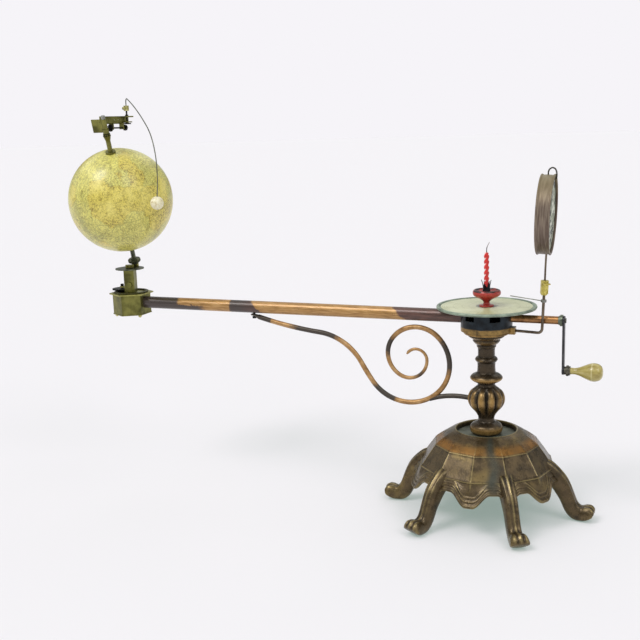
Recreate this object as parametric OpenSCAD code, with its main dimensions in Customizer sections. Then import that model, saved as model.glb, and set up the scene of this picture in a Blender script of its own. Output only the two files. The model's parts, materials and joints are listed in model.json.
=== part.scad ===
// School orrery: a cast stand carries a turning column and a long arm. A hand crank at one end of the
// arm rolls round a fixed crown wheel and drives the globe and its moon at the other end.

/* [Stand] */
// Height of the stand's top rim
rim_z = 95.5; // [94.5:0.5:97]
// Radius of the recess in the stand's top
recess_r = 33; // [32.5:0.5:34]
// Thickness of the cast wall
cast_wall = 5; // [4:0.5:6]
// Width of a leg
leg_w = 17; // [15:1:19]

/* [Arm] */
// Height of the two shafts above the ground
shaft_z = 222; // [221.5:0.5:222.5]
// Distance from the column's axis to the globe's gearbox
reach = 454.7; // [450:0.1:460]
// Outer radius of the arm tube
tube_r = 7.3; // [7:0.1:7.6]
// Outer radius of the short tube at the crank end
stub_r = 4.3; // [4.2:0.1:4.6]
// Radius of the crank's throw
crank_throw = 54.5; // [45:0.5:60]

/* [Lamp] */
// Radius of the calendar disc
disc_r = 54.4; // [50:0.1:56]
// Radius of the candle
candle_r = 2.6; // [2.4:0.1:2.8]
// Length of the candle
candle_len = 43.3; // [20:0.1:45]
// Radius of the reflector
reflector_r = 42; // [38:1:43]
// Depth of the reflector's band
reflector_depth = 15; // [12:1:16]

/* [Globe] */
// Radius of the globe
globe_r = 62.5; // [62:0.1:62.7]
// Height of the globe's centre
globe_z = 352; // [351:0.5:353]
// Tilt of the globe's axis
tilt = 23.5; // [23:0.1:24]
// Direction that the globe's axis leans to, turned from square to the arm
lean_turn = 15; // [14:0.5:16]
// Radius of the moon's path round its spindle
moon_path_r = 90; // [90:0.5:92]
// Radius of the moon
moon_r = 7.5; // [5:0.5:7.5]

/* [Gears] */
// Teeth of both crown wheels
crown_teeth = 40; // [40]
// Teeth of both shaft pinions
pinion_teeth = 10; // [10]

/* [Hidden] */
$fn = 64;

// running clearance on a radius
run = 0.05;
// stand
sides = 12;
floor_z = rim_z - 7.5;
plate_t = 2;
shell_levels = [[rim_z, 35.5], [rim_z - 5, 45], [81, 58], [57, 75], [43, 80]];
lobe_z = 50;
lobe_r = 16;
// spindle and column
spindle_r = 5;
bush_r = 6.6;
column_foot_z = floor_z + plate_t + 1;
cap_z = 207.5;
cage_r = 28;
cage_top_z = 231.2;
// crown wheel under the disc
sun_r = 22;
sun_pinion_r = 5.5;
sun_tooth_w = 1.3;
disc_z = 231.8;
chart_z = 234.2;
candle_z = 249.9;
crank_shaft_r = 2.6;
arm_shaft_r = 2.5;
cage_wall_r = 25.6;
stub_end_x = 77.5;
grip_z = shaft_z - crank_throw;
// crown wheel of the globe table
table_r = 16;
table_pinion_r = 4;
table_tooth_w = 0.9;
box_r = 23.5;
box_floor_z = 208.5;
lid_z = 232.5;
lid_t = 1.5;
ring_pitch_r = 18;
planet_r = 15;
planet_angle = 155;
small_module = 0.5;
day_module = 0.6;
plate_z = 263.6;
// tilted axis: its foot in the table's frame, and the globe's centre along it
foot_x = 4;
foot_y = 12;
foot_z = 265;
rod_r = 1.6;
sleeve_r = 2.8;
centre_s = (globe_z - foot_z) / cos(tilt);
// moon bracket: the rod crosses its level here, and its own frame is turned from the arm's
bracket_x = -433.9;
bracket_y = -62;
bracket_turn = -10;
bracket_span = 38;
arbor_z = 438;
moon_turn = -39.4;
// reflector rod
rod_x = 61.4;
rod_low_z = 209;
rod_slant = 11;
rod_lean = 2.4;
rod_start = [cage_wall_r + 4.4, -1 - 4.4 * tan(rod_slant)];
rod_top_y = rod_start[1] - (rod_x - rod_start[0]) * tan(rod_slant);
reflector_rod_r = 1.5;
reflector_z = 335;
drum_offset = -2.2;
drum_turn = 3.6;
// scroll: signed radius and sweep of each arc, from the arm tube to the tip
scroll_start = [-277, 210.2];
scroll_heading = -15.5;
scroll_r = 2.9;
scroll_arcs = [[490, 9.4], [-68, 54], [280, 5], [52, 90], [45, 101.5], [35.3, 97], [29.3, 92],
    [21.4, 125], [12.6, 150]];
tail_arcs = [[-95, 28]];
// moon wire: the same kind of list
wire_arcs = [[-2000, 0.13], [-3.9, 109], [-297, 14.5], [-56, 58.5], [-97, 21]];

// A tooth-edged outline: teeth of width w at the pitch radius, narrower at the tip.
module toothed(n, pitch_r, tip, root, w, phase = 0) {
    half = w / pitch_r * 90 / PI;
    polygon([for (i = [0 : n - 1], p = [[root, -1.5], [tip, -0.6], [tip, 0.6], [root, 1.5]])
        let (a = phase + i * 360 / n + p[1] * half) p[0] * [cos(a), sin(a)]]);
}

// Teeth of a crown wheel: radial bars hanging down from the height z.
module crown_bars(n, r, len, w, z, depth) {
    for (i = [0 : n - 1]) rotate([0, 0, i * 360 / n])
        translate([r - len / 2, -w / 2, z - depth]) cube([len, w, depth + 0.5]);
}

// A ring with a round bore, standing on z.
module ring(outer, inner, z, h) {
    difference() {
        translate([0, 0, z]) cylinder(h = h, r = outer);
        translate([0, 0, z - 1]) cylinder(h = h + 2, r = inner);
    }
}

// Something along +X from x at the shafts' height.
module on_shaft(x) { translate([x, 0, shaft_z]) rotate([0, 90, 0]) children(); }

// Frame of the globe's gearbox, with the arm along X.
module at_box() { translate([-reach, 0, 0]) children(); }

// Frame of the globe table: the axis leans towards its own -Y.
module at_table() { at_box() rotate([0, 0, lean_turn]) children(); }

// Frame of the tilted axis, s along it from its foot.
module at_axis(s = 0) {
    at_table() translate([foot_x, foot_y, foot_z]) rotate([tilt, 0, 0]) translate([0, 0, s]) children();
}

// Frame of the moon bracket, with its strip along +Y.
module at_bracket() { translate([bracket_x, bracket_y, 0]) rotate([0, 0, bracket_turn]) children(); }

// Frame of the moon's spindle.
module at_spindle() { at_bracket() translate([0, bracket_span, 0]) children(); }

// Points along a bar bent in the XY plane: [x, y, heading], a point every 8 degrees or less.
// Each arc is [signed radius, sweep], and the first one starts along the heading h.
function bar_path(arcs, x, y, h, i = 0) = i == len(arcs) ? [[x, y, h]] :
    let (side = sign(arcs[i][0]), r = abs(arcs[i][0]), sweep = arcs[i][1], n = ceil(sweep / 8) + 1)
    let (at = [for (k = [0 : n]) let (a = h + side * sweep * k / n)
        [x + side * r * (sin(a) - sin(h)), y - side * r * (cos(a) - cos(h)), a]])
    concat([for (k = [0 : n - 1]) at[k]], bar_path(arcs, at[n][0], at[n][1], at[n][2], i + 1));

// A round bar along such a path. Its radius goes from r to tip_r over the last part of its length.
module swept_bar(path, r, tip_r, n = 10) {
    last = len(path) - 1;
    points = [for (k = [0 : last], j = [0 : n - 1])
        let (p = path[k], q = r + (tip_r - r) * max(0, k / last - 0.7) / 0.3, a = 360 / n * j)
        [p[0] - q * cos(a) * sin(p[2]), p[1] + q * cos(a) * cos(p[2]), q * sin(a)]];
    walls = [for (k = [0 : last - 1], j = [0 : n - 1]) let (m = (j + 1) % n)
        [k * n + j, k * n + m, (k + 1) * n + m, (k + 1) * n + j]];
    first_cap = [for (j = [n - 1 : -1 : 0]) j];
    last_cap = [for (j = [0 : n - 1]) last * n + j];
    polyhedron(points, concat(walls, [first_cap, last_cap]));
}

// ---- stand ----
module shell_body(inset) {
    for (i = [0 : len(shell_levels) - 2]) {
        top = shell_levels[i];
        low = shell_levels[i + 1];
        translate([0, 0, low[0] - inset * 0.8])
            cylinder(h = top[0] - low[0], r1 = low[1] - inset, r2 = top[1] - inset, $fn = sides);
    }
}

module leg_profile() {
    polygon([[71, 60], [80, 57.5], [88, 49], [94, 39], [97.5, 29], [100.5, 20.5], [105, 16.5],
        [111, 18], [117.4, 16.5], [120, 12], [118.6, 7.6], [115, 3.6], [109, 0], [96, 0], [91, 3.5], [87, 10],
        [82.5, 21], [77.5, 29], [71, 36]]);
}

module base_casting() {
    color("#5d4f3a") {
        difference() {
            shell_body(0);
            shell_body(cast_wall);
            translate([0, 0, floor_z]) cylinder(h = 20, r = recess_r);
            translate([0, 0, 60]) cylinder(h = 60, r = 9);
        }
        difference() {
            translate([0, 0, floor_z - 4]) cylinder(h = 4, r = 45);
            translate([0, 0, 60]) cylinder(h = 60, r = 9);
        }
        intersection() {
            difference() {
                translate([0, 0, 33]) cylinder(h = 13, r1 = 84, r2 = 80, $fn = sides);
                translate([0, 0, 32]) cylinder(h = 15, r1 = 80, r2 = 74.5, $fn = sides);
            }
            for (i = [0 : 2]) rotate([0, 0, 30 + i * 60]) translate([-90, 0, lobe_z])
                rotate([0, 90, 0]) rotate([0, 0, 15]) cylinder(h = 180, r = lobe_r, $fn = sides);
        }
        for (i = [0 : 5]) rotate([0, 0, i * 60]) translate([0, leg_w / 2, 0]) rotate([90, 0, 0])
            linear_extrude(leg_w) leg_profile();
    }
}

module recess_plate() { color("#4d544c") ring(recess_r - 0.3, spindle_r, floor_z, plate_t); }

module spindle() {
    color("#6b6a66") {
        translate([0, 0, 70]) cylinder(h = 228.5 - 70, r = spindle_r - run);
        translate([0, 0, 228.5]) cylinder(h = 10.5, r = 3);
        translate([0, 0, floor_z - 4 - 1.5]) difference() {
            cylinder(h = 1.5, r = 13);
            translate([0, 0, -1]) cylinder(h = 4, r = 4.8);
        }
    }
}

module spindle_nut() {
    color("#55534e") difference() {
        translate([0, 0, floor_z - 13.5]) cylinder(h = 8, r = 10.5, $fn = 6);
        translate([0, 0, 60]) cylinder(h = 60, r = spindle_r - run);
    }
}

module thrust_washer() { color("#b08a3e") ring(9, spindle_r, floor_z + plate_t, 1); }

module sun_wheel() {
    color("#3a3a36") {
        ring(24.6, 3, 229, disc_z - 229);
        crown_bars(crown_teeth, sun_r, 4.4, sun_tooth_w, 229, 2.4);
    }
}

module calendar_disc() {
    color("#7d8b78") rotate_extrude($fn = 96) polygon([[3, disc_z], [disc_r - 3, disc_z],
        [disc_r - 0.6, disc_z + 0.8], [disc_r, disc_z + 2.2], [disc_r - 0.6, chart_z + 1],
        [disc_r - 3, chart_z + 1], [disc_r - 4, chart_z], [3, chart_z]]);
}

module calendar_chart() { color("#c3c49a") ring(disc_r - 5, 3, chart_z, 0.35); }

module candle_cup() {
    color("#a8332b") rotate_extrude($fn = 64) difference() {
        polygon([[0, 234.55], [8, 234.55], [8, 235.8], [3.6, 236.5], [3.3, 239], [7.5, 242.5],
            [13, 245.5], [15, 248], [15.2, 250], [14, 252], [12.6, 252.4], [11.5, 250.8], [7, 249.8],
            [0, 249.8]]);
        translate([0, 230]) square([3, 9]);
    }
}

module candle_clip() {
    color("#1d1f1f") {
        ring(4, candle_r + 0.1, 249.8, 7);
        for (i = [0 : 3]) rotate([0, 0, 45 + i * 90]) translate([3.2, -1.1, 255]) rotate([0, 14, 0])
            cube([0.8, 2.2, 7]);
    }
}

module candle() { color("#d0342c") translate([0, 0, candle_z]) cylinder(h = candle_len, r = candle_r); }

module wick() {
    color("#2a2624") translate([0, 0, candle_z + candle_len]) {
        cylinder(h = 6, r = 0.5, $fn = 24);
        translate([0, 0, 6]) {
            sphere(0.5, $fn = 24);
            rotate([0, 30, 0]) cylinder(h = 6, r = 0.5, $fn = 24);
        }
    }
}

// ---- column and arm ----
module column() {
    color("#4c443a") difference() {
        rotate_extrude($fn = 96) polygon([[0, column_foot_z], [14, column_foot_z], [17.2, 92.5],
            [18, 96.3], [16.8, 100], [13.5, 102.5], [9.8, 104.5], [9, 109], [11.5, 114], [16.5, 119.5],
            [19.5, 124.5], [20.5, 129.8], [19.6, 135], [17, 139.5], [12.5, 143], [9.9, 145.5], [10, 148],
            [15.5, 151], [17.9, 154.1], [15.5, 157.5], [10.8, 160], [9.9, 164], [9.9, 171], [11.4, 173],
            [12.4, 175.1], [11, 177.4], [9.4, 179], [9.4, 187], [10.6, 190], [10.6, 191.5], [14.9, 196],
            [14.9, 198], [19.9, 201.5], [19.9, 203.5], [24.3, 204.5], [24.3, cap_z], [0, cap_z]]);
        translate([0, 0, 80]) cylinder(h = 140, r = bush_r);
    }
}

module column_bushes() {
    color("#b08a3e") {
        ring(bush_r, spindle_r, column_foot_z, 20);
        ring(bush_r, spindle_r, cap_z - 20, 20);
    }
}

module gear_cage() {
    color("#10171c") {
        difference() {
            ring(cage_r, cage_wall_r, cap_z, cage_top_z - cap_z);
            translate([-40, 0, shaft_z]) rotate([0, 90, 0]) cylinder(h = 40, r = tube_r);
            on_shaft(0) cylinder(h = 40, r = stub_r);
            for (i = [1, 2, 4, 5]) rotate([0, 0, i * 60 + 2]) translate([20, -6, 221]) cube([12, 12, 6]);
        }
        ring(cage_wall_r + 0.5, spindle_r + 1.5, cap_z, 2);
        difference() {
            translate([cage_r - 3, -5, cap_z - 2.5]) cube([7, 8, 8]);
            translate([rod_start[0], rod_start[1], rod_low_z]) rotate([0, 90, -rod_slant])
                cylinder(h = 20, r = reflector_rod_r, center = true);
        }
    }
}

module arm_tube() {
    color("#5b4038") translate([0, 0, shaft_z]) rotate([0, -90, 0]) difference() {
        translate([0, 0, cage_wall_r]) cylinder(h = reach - box_r * cos(30) + 1 - cage_wall_r, r = tube_r);
        cylinder(h = reach, r = tube_r - 1.3);
    }
}

module stub_tube() {
    color("#b06a3c") on_shaft(0) difference() {
        translate([0, 0, cage_wall_r]) cylinder(h = stub_end_x - cage_wall_r, r = stub_r);
        cylinder(h = 100, r = stub_r - 0.9);
    }
}

module shaft_bushes() {
    color("#b08a3e") {
        for (x = [-cage_wall_r - 12, -reach / 2, -reach + box_r * cos(30) + 2]) on_shaft(x)
            ring(tube_r - 1.3, arm_shaft_r + run, 0, 8);
        for (x = [cage_wall_r, stub_end_x - 8]) on_shaft(x) ring(stub_r - 0.9, crank_shaft_r + run, 0, 8);
    }
}

module in_arm_plane() { rotate([90, 0, 0]) children(); }

module scroll_bracket() {
    color("#b0834a") in_arm_plane() {
        swept_bar(bar_path(scroll_arcs, scroll_start[0], scroll_start[1], scroll_heading), scroll_r, 1.7);
        translate([-281, shaft_z - tube_r - 3.2, -3]) rotate([0, 0, -15]) cube([6, 3.4, 6]);
        swept_bar(bar_path(tail_arcs, -65, 124.4, 20), scroll_r * 0.95, scroll_r * 0.95);
    }
}

module bracket_screws() {
    color("#3c3a36") {
        translate([-282.5, 0, 210.5]) cylinder(h = 5, r = 1.4);
        translate([-282.5, 0, 208.2]) cylinder(h = 2.4, r = 2.4);
    }
}

// ---- gearbox at the end of the arm ----
module hexagon(r) { rotate([0, 0, 30]) circle(r, $fn = 6); }

module gearbox_shell() {
    color("#7e7b42") difference() {
        at_box() translate([0, 0, box_floor_z]) linear_extrude(lid_z - box_floor_z) difference() {
            hexagon(box_r);
            hexagon(box_r - 2.2);
        }
        translate([0, 0, shaft_z]) rotate([0, -90, 0]) translate([0, 0, reach - 40])
            cylinder(h = 30, r = tube_r);
    }
}

module gearbox_floor() {
    color("#6d6a3a") at_box() {
        difference() {
            translate([0, 0, box_floor_z - 1.5]) linear_extrude(1.5) hexagon(box_r + 0.6);
            box_screw_places() cylinder(h = 40, r = 1.2, center = true);
        }
        difference() {
            translate([-12, -4, box_floor_z]) cube([3.5, 8, 18]);
            translate([-20, 0, shaft_z]) rotate([0, 90, 0]) cylinder(h = 20, r = arm_shaft_r + run);
        }
    }
}

module box_screw_places() {
    for (a = [90, 210, 330]) rotate([0, 0, a]) translate([19.6, 0, box_floor_z]) children();
}

module gearbox_lid() {
    color("#8b8849") at_box() difference() {
        translate([0, 0, lid_z]) linear_extrude(lid_t) hexagon(27.5);
        translate([0, 0, lid_z - 1]) cylinder(h = 4, r = 4.5 + run);
        for (a = [90, 210, 330]) rotate([0, 0, a]) translate([19.6, 0, lid_z - 1]) cylinder(h = 4, r = 1.2);
    }
}

module lid_ring() {
    color("#22211d") at_box() translate([0, 0, lid_z + lid_t]) linear_extrude(1.5) difference() {
        circle(21.2, $fn = 96);
        toothed(72, ring_pitch_r, 17.45, 18.65, 0.6, 2.5 + planet_angle + lean_turn);
    }
}

module gearbox_screws() {
    color("#b7ae78") at_box() for (a = [90, 210, 330]) rotate([0, 0, a]) translate([19.6, 0, 0]) {
        translate([0, 0, box_floor_z - 4.5]) cylinder(h = lid_z + lid_t - box_floor_z + 4.5, r = 1.2);
        translate([0, 0, box_floor_z - 1.5 - 2]) cylinder(h = 2, r = 2.2, $fn = 6);
    }
}

// ---- reflector ----
module reflector_rod() {
    color("#5a5148") {
        translate([rod_start[0], rod_start[1], rod_low_z]) rotate([0, 90, -rod_slant])
            cylinder(h = (rod_x - rod_start[0]) / cos(rod_slant), r = reflector_rod_r, $fn = 32);
        at_rod() {
            translate([0, 0, rod_low_z]) sphere(reflector_rod_r + 0.2, $fn = 32);
            translate([0, 0, rod_low_z]) cylinder(h = 45.5, r = reflector_rod_r, $fn = 32);
        }
    }
}

// Frame of the upright rod, which leans away from the candle.
module at_rod() {
    translate([rod_x, rod_top_y, rod_low_z]) rotate([0, rod_lean, 0]) translate([0, 0, -rod_low_z])
        children();
}

module date_pointer() {
    color("#8e8f88") at_rod() {
        ring(3, reflector_rod_r, 242.6, 2.6);
        translate([-2.2, 0, 243.9]) rotate([0, -86, -4]) cylinder(h = 34, r = 0.55, $fn = 16);
    }
}

module rod_clamp() {
    color("#c7b75a") at_rod() difference() {
        union() {
            translate([0, 0, 251.5]) cylinder(h = 14.5, r = 4.2, $fn = 6);
            translate([0, 0, 250.3]) cylinder(h = 1.2, r = 3.2);
        }
        translate([0, 0, 245]) cylinder(h = 9.9, r = reflector_rod_r + run);
        translate([0, 0, 254]) cylinder(h = 15, r = 1.1 + run);
        translate([0, 0, 263.3]) rotate([90, 0, 25]) cylinder(h = 10, r = 0.9 + run);
    }
}

module thumb_screw() {
    color("#bfb055") at_rod() translate([0, 0, 263.3]) rotate([90, 0, 25]) {
        translate([0, 0, 1.6]) cylinder(h = 6, r = 0.9);
        translate([0, 0, 4.6]) cylinder(h = 1.6, r = 2.4);
        translate([-3.4, -0.6, 6.2]) cube([6.8, 1.2, 4]);
    }
}

module reflector_stem() {
    color("#5a5148") at_rod() translate([0, 0, 255.5])
        cylinder(h = reflector_z - reflector_r + 1.4 - 255.5, r = 1.1);
}

module reflector_drum() {
    half = reflector_depth / 2;
    color("#7b6b55") at_rod() rotate([0, 0, drum_turn]) translate([drum_offset, 0, reflector_z]) {
        rotate([0, -90, 0]) translate([0, 0, -half]) rotate([0, 0, 90]) rotate_extrude($fn = 96) polygon([
            [0, 0], [reflector_r - 1.5, 0], [reflector_r, 1], [reflector_r - 0.8, 2.4],
            [reflector_r - 0.8, reflector_depth - 2.4], [reflector_r, reflector_depth - 1],
            [reflector_r - 1.5, reflector_depth], [reflector_r - 2.6, reflector_depth - 1],
            [reflector_r - 2.6, 9], [30, 5], [18, 2.6], [0, 1.4]]);
        translate([half - 3.4, 0, reflector_r + 1.2]) rotate([90, 0, 0]) rotate_extrude($fn = 48)
            translate([3.9, 0]) circle(0.75, $fn = 12);
    }
}

// ---- crank ----
module crank_shaft() {
    color("#4b4a47") on_shaft(19) cylinder(h = 66.5, r = crank_shaft_r);
}

module crank_pinion() {
    color("#8d7a3c") on_shaft(sun_r - 2.2) linear_extrude(4.4) difference() {
        toothed(pinion_teeth, sun_pinion_r, 6.2, 4.2, 1.25, 18 + 180);
        circle(crank_shaft_r);
    }
}

module crank_flange() {
    color("#6d7565") on_shaft(stub_end_x + 0.3) difference() {
        union() {
            cylinder(h = 1.6, r = 5);
            translate([0, 0, 1.6]) cylinder(h = 2.6, r = 6.2);
        }
        translate([0, 0, -1]) cylinder(h = 8, r = crank_shaft_r);
    }
}

module crank_arm() {
    x = stub_end_x + 4.5;
    color("#3b3b3d") difference() {
        union() {
            on_shaft(x) cylinder(h = 2.2, r = 5);
            translate([x, -3.6, grip_z]) cube([2.2, 7.2, crank_throw]);
            translate([x, 0, grip_z]) rotate([0, 90, 0]) cylinder(h = 2.2, r = 4.6);
        }
        on_shaft(x - 1) cylinder(h = 5, r = crank_shaft_r);
        translate([x - 1, 0, grip_z]) rotate([0, 90, 0]) cylinder(h = 5, r = 1.8);
    }
}

module at_grip() { translate([stub_end_x + 4.5, 0, grip_z]) rotate([0, 90, 0]) children(); }

module grip_pin() { color("#4b4a47") at_grip() cylinder(h = 38, r = 1.8); }

module crank_grip() {
    color("#a99a55") at_grip() difference() {
        rotate_extrude($fn = 64) polygon([[0, 8.6], [3.7, 8.6], [3.3, 12], [4, 16], [6.4, 22], [8.7, 27.5],
            [9.8, 32], [9.6, 36], [8, 39.5], [4.5, 42], [0, 42.6]]);
        translate([0, 0, -1]) cylinder(h = 40, r = 1.8 + run);
    }
}

module grip_ferrule() {
    color("#57544a") at_grip() difference() {
        union() {
            translate([0, 0, 2.6]) cylinder(h = 2, r = 4.4);
            translate([0, 0, 4.6]) cylinder(h = 2.2, r = 5.8);
            translate([0, 0, 6.8]) cylinder(h = 1.8, r = 5);
        }
        translate([0, 0, -1]) cylinder(h = 12, r = 1.8 + run);
    }
}

// ---- shaft inside the arm ----
module arm_shaft() {
    color("#4b4a47") on_shaft(-reach - 18) cylinder(h = reach + 18 - 19, r = arm_shaft_r);
}

module sun_pinion() {
    color("#8d7a3c") on_shaft(-sun_r - 2.2) linear_extrude(4.4) difference() {
        toothed(pinion_teeth, sun_pinion_r, 6.2, 4.2, 1.25, 18 + 180);
        circle(arm_shaft_r);
    }
}

module table_pinion() {
    color("#8d7a3c") on_shaft(-reach - table_r - 1.8) linear_extrude(3.6) difference() {
        toothed(pinion_teeth, table_pinion_r, 4.6, 3.1, 0.9, 18 + 180);
        circle(arm_shaft_r);
    }
}

// ---- globe table ----
module table_wheel() {
    color("#8d7a3c") at_box() {
        ring(17.8, 4.5, 227.4, 1.8);
        crown_bars(crown_teeth, table_r, 3.6, table_tooth_w, 227.4, 2.1);
        ring(6.5, 4.5, 229.2, 3);
    }
}

module at_planet() { at_table() rotate([0, 0, planet_angle]) translate([planet_r, 0, 0]) children(); }

module table_post() {
    color("#7d7a41") difference() {
        at_table() {
            translate([0, 0, 227.4]) cylinder(h = 9, r = 4.5);
            translate([-6.5, -6, 234.6]) cube([13, 12, plate_z - 234.6]);
            translate([0, -6, 244]) rotate([90, 0, 0]) cylinder(h = 2.2, r = 3.6);
        }
        at_table() translate([0, 0, 220]) cylinder(h = 60, r = 1.3 + run);
        at_table() translate([0, 0, 236.2]) cylinder(h = 2.3, r = 3.9);
        at_planet() translate([0, 0, 234.2]) cylinder(h = 4.3, r = 12.9);
    }
}

module planet_cock() {
    color("#57552c") difference() {
        at_table() rotate([0, 0, planet_angle]) {
            translate([5.2, -2.4, 239.2]) cube([planet_r - 5.2, 4.8, 1.5]);
            translate([planet_r, 0, 239.2]) cylinder(h = 1.5, r = 3);
        }
        at_planet() translate([0, 0, 230]) cylinder(h = 20, r = 1 + run);
    }
}

module table_plate() { color("#6a6a52") at_table() ring(17.8, 1.3 + run, plate_z, 1.2); }

module axis_socket() {
    color("#8b8849") difference() {
        at_axis(-4) cylinder(h = 8.5, r = 4.4);
        at_axis(-8) cylinder(h = 20, r = rod_r);
        at_table() translate([-30, -30, plate_z + 1.2 - 20]) cube([60, 60, 20]);
    }
}

module axis_rod() { color("#4a4a44") at_axis(0.9) cylinder(h = centre_s + 107, r = rod_r); }

module rod_cap() {
    color("#9c9c94") at_axis(centre_s + 105.2) difference() {
        cylinder(h = 3.6, r = 2.5);
        translate([0, 0, -1]) cylinder(h = 3.7, r = rod_r);
    }
}

module moon_bracket() {
    color("#7e7b42") difference() {
        union() {
            at_axis(centre_s + 88) cylinder(h = 5, r = 3.6);
            at_axis(centre_s + 93) cylinder(h = 12.2, r = 2.9);
            at_axis(centre_s + 88) translate([-15.5, 0.6, 0]) cube([13, 1.4, 16]);
            at_bracket() {
                translate([-4.6, -3, 442.6]) cube([1.5, bracket_span + 9, 8.9]);
                translate([-4.6, -3, 442.6]) cube([5, 3.4, 4]);
                translate([-4.6, bracket_span - 7, 450]) cube([9.5, 13, 1.5]);
                translate([-4.6, bracket_span - 4, 443.9]) cube([8, 9, 1.3]);
                for (y = [12, 29]) translate([-4.6, y, arbor_z - 1.8]) cube([6.4, 1.5, 7.4]);
            }
        }
        at_axis(centre_s + 80) cylinder(h = 40, r = rod_r);
        at_bracket() translate([0, 5, arbor_z]) rotate([-90, 0, 0]) cylinder(h = 30, r = 0.9 + run);
        at_spindle() translate([0, 0, 436]) cylinder(h = 20, r = 1 + run);
        at_spindle() translate([0, 0, 441]) cylinder(h = 2.6, r = 5);
        for (y = [bracket_span - 17, bracket_span - 11]) at_bracket() translate([-8, y, 447.5])
            rotate([0, 90, 0]) cylinder(h = 8, r = 0.9);
    }
}

// ---- day train ----
module planet_arbor() {
    color("#2a2824") at_planet() {
        translate([0, 0, 234.4]) linear_extrude(2.2)
            toothed(12, 3, 3.45, 2.35, 0.6);
        translate([0, 0, 236.6]) cylinder(h = 5.4, r = 1);
        translate([0, 0, 240.9]) cylinder(h = 2.8, r = 2.1);
    }
}

module planet_wheel() {
    color("#1f1e1b") at_planet() translate([0, 0, 236.6]) difference() {
        linear_extrude(1.6) toothed(48, 12, 12.45, 11.35, 0.6);
        translate([0, 0, -1]) cylinder(h = 4, r = 1);
    }
}

module day_arbor() {
    color("#8d7a3c") at_table() {
        translate([0, 0, 229]) cylinder(h = 39.6, r = 1.3);
        translate([0, 0, 236.5]) linear_extrude(1.8) toothed(12, 3, 3.45, 2.35, 0.6, 15 + planet_angle);
        translate([0, 0, 265.3]) linear_extrude(3.4) toothed(16, 4.8, 5.3, 4.1, 0.8);
    }
}

// ---- globe ----
module globe_ball() {
    color("#c9be62") at_axis(centre_s) difference() {
        sphere(globe_r, $fn = 96);
        sphere(globe_r - 3, $fn = 96);
        cylinder(h = 2 * globe_r + 10, r = sleeve_r, center = true);
    }
}

module lower_sleeve() {
    color("#5c5a48") difference() {
        union() {
            at_axis(4.8) cylinder(h = centre_s - globe_r + 3.2 - 4.8, r = sleeve_r);
            at_axis(8) linear_extrude(2.5) toothed(24, 7.2, 7.8, 6.5, 0.8, 90);
            at_axis(10.5) cylinder(h = 2, r = 4);
        }
        at_axis(0) cylinder(h = centre_s, r = rod_r + run);
    }
}

module upper_sleeve() {
    color("#8b8849") difference() {
        union() {
            at_axis(centre_s + globe_r - 3) cylinder(h = 24, r = sleeve_r);
            at_axis(centre_s + globe_r) cylinder(h = 2.2, r = 6);
            at_axis(centre_s + 78) cylinder(h = 6.5, r1 = sleeve_r, r2 = 4.6);
            at_axis(centre_s + 84.5) linear_extrude(2.5) toothed(12, 3.6, 4.2, 2.95, 0.9);
        }
        at_axis(centre_s + globe_r - 5) cylinder(h = 60, r = rod_r + run);
    }
}

// ---- moon ----
module moon_arbor() {
    color("#2a2824") at_bracket() translate([0, 0, arbor_z]) rotate([-90, 0, 0]) {
        translate([0, 0, 8.2]) cylinder(h = bracket_span - 10.2, r = 0.9);
        translate([0, 0, 8.2]) linear_extrude(2.4) toothed(12, 3.6, 4.2, 2.95, 0.9);
        translate([0, 0, bracket_span - 5.4]) linear_extrude(2.8) toothed(12, 3, 3.45, 2.35, 0.8);
    }
}

module moon_spindle() {
    color("#33312c") at_spindle() {
        translate([0, 0, 441.9]) linear_extrude(1.4) toothed(16, 4, 4.45, 3.4, 0.8);
        translate([0, 0, 443.3]) cylinder(h = 17.5, r = 1);
        translate([0, 0, 451.7]) cylinder(h = 1.4, r = 2);
    }
}

module wire_clamp() {
    color("#b9b394") at_spindle() difference() {
        union() {
            translate([0, 0, 457.4]) cylinder(h = 6.2, r = 3.1);
            rotate([0, 0, moon_turn - bracket_turn]) translate([0, 0, 460.5]) rotate([90, 0, 0])
                cylinder(h = 4.6, r = 1.6);
        }
        translate([0, 0, 450]) cylinder(h = 10.8, r = 1);
    }
}

module in_moon_plane() {
    at_spindle() rotate([0, 0, moon_turn - bracket_turn]) rotate([90, 0, 0]) children();
}

module moon_wire() {
    color("#77756e") in_moon_plane() swept_bar(bar_path(wire_arcs, 0, 463, 90), 0.55, 0.55, 8);
}

module moon_ball() {
    color("#cfc8ae") in_moon_plane() translate([moon_path_r, 353.2, 0]) sphere(moon_r, $fn = 64);
}

base_casting();
recess_plate();
spindle();
spindle_nut();
thrust_washer();
sun_wheel();
calendar_disc();
calendar_chart();
candle_cup();
candle_clip();
candle();
wick();
column();
column_bushes();
gear_cage();
arm_tube();
stub_tube();
shaft_bushes();
scroll_bracket();
bracket_screws();
gearbox_shell();
gearbox_floor();
gearbox_lid();
lid_ring();
gearbox_screws();
reflector_rod();
date_pointer();
crank_shaft();
crank_pinion();
crank_flange();
crank_arm();
grip_pin();
crank_grip();
grip_ferrule();
arm_shaft();
sun_pinion();
table_pinion();
table_wheel();
table_post();
planet_cock();
table_plate();
axis_socket();
axis_rod();
rod_cap();
moon_bracket();
planet_arbor();
planet_wheel();
day_arbor();
globe_ball();
lower_sleeve();
upper_sleeve();
moon_arbor();
moon_spindle();
wire_clamp();
moon_wire();
moon_ball();
rod_clamp();
thumb_screw();
reflector_stem();
reflector_drum();
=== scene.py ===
import json
import math

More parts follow.
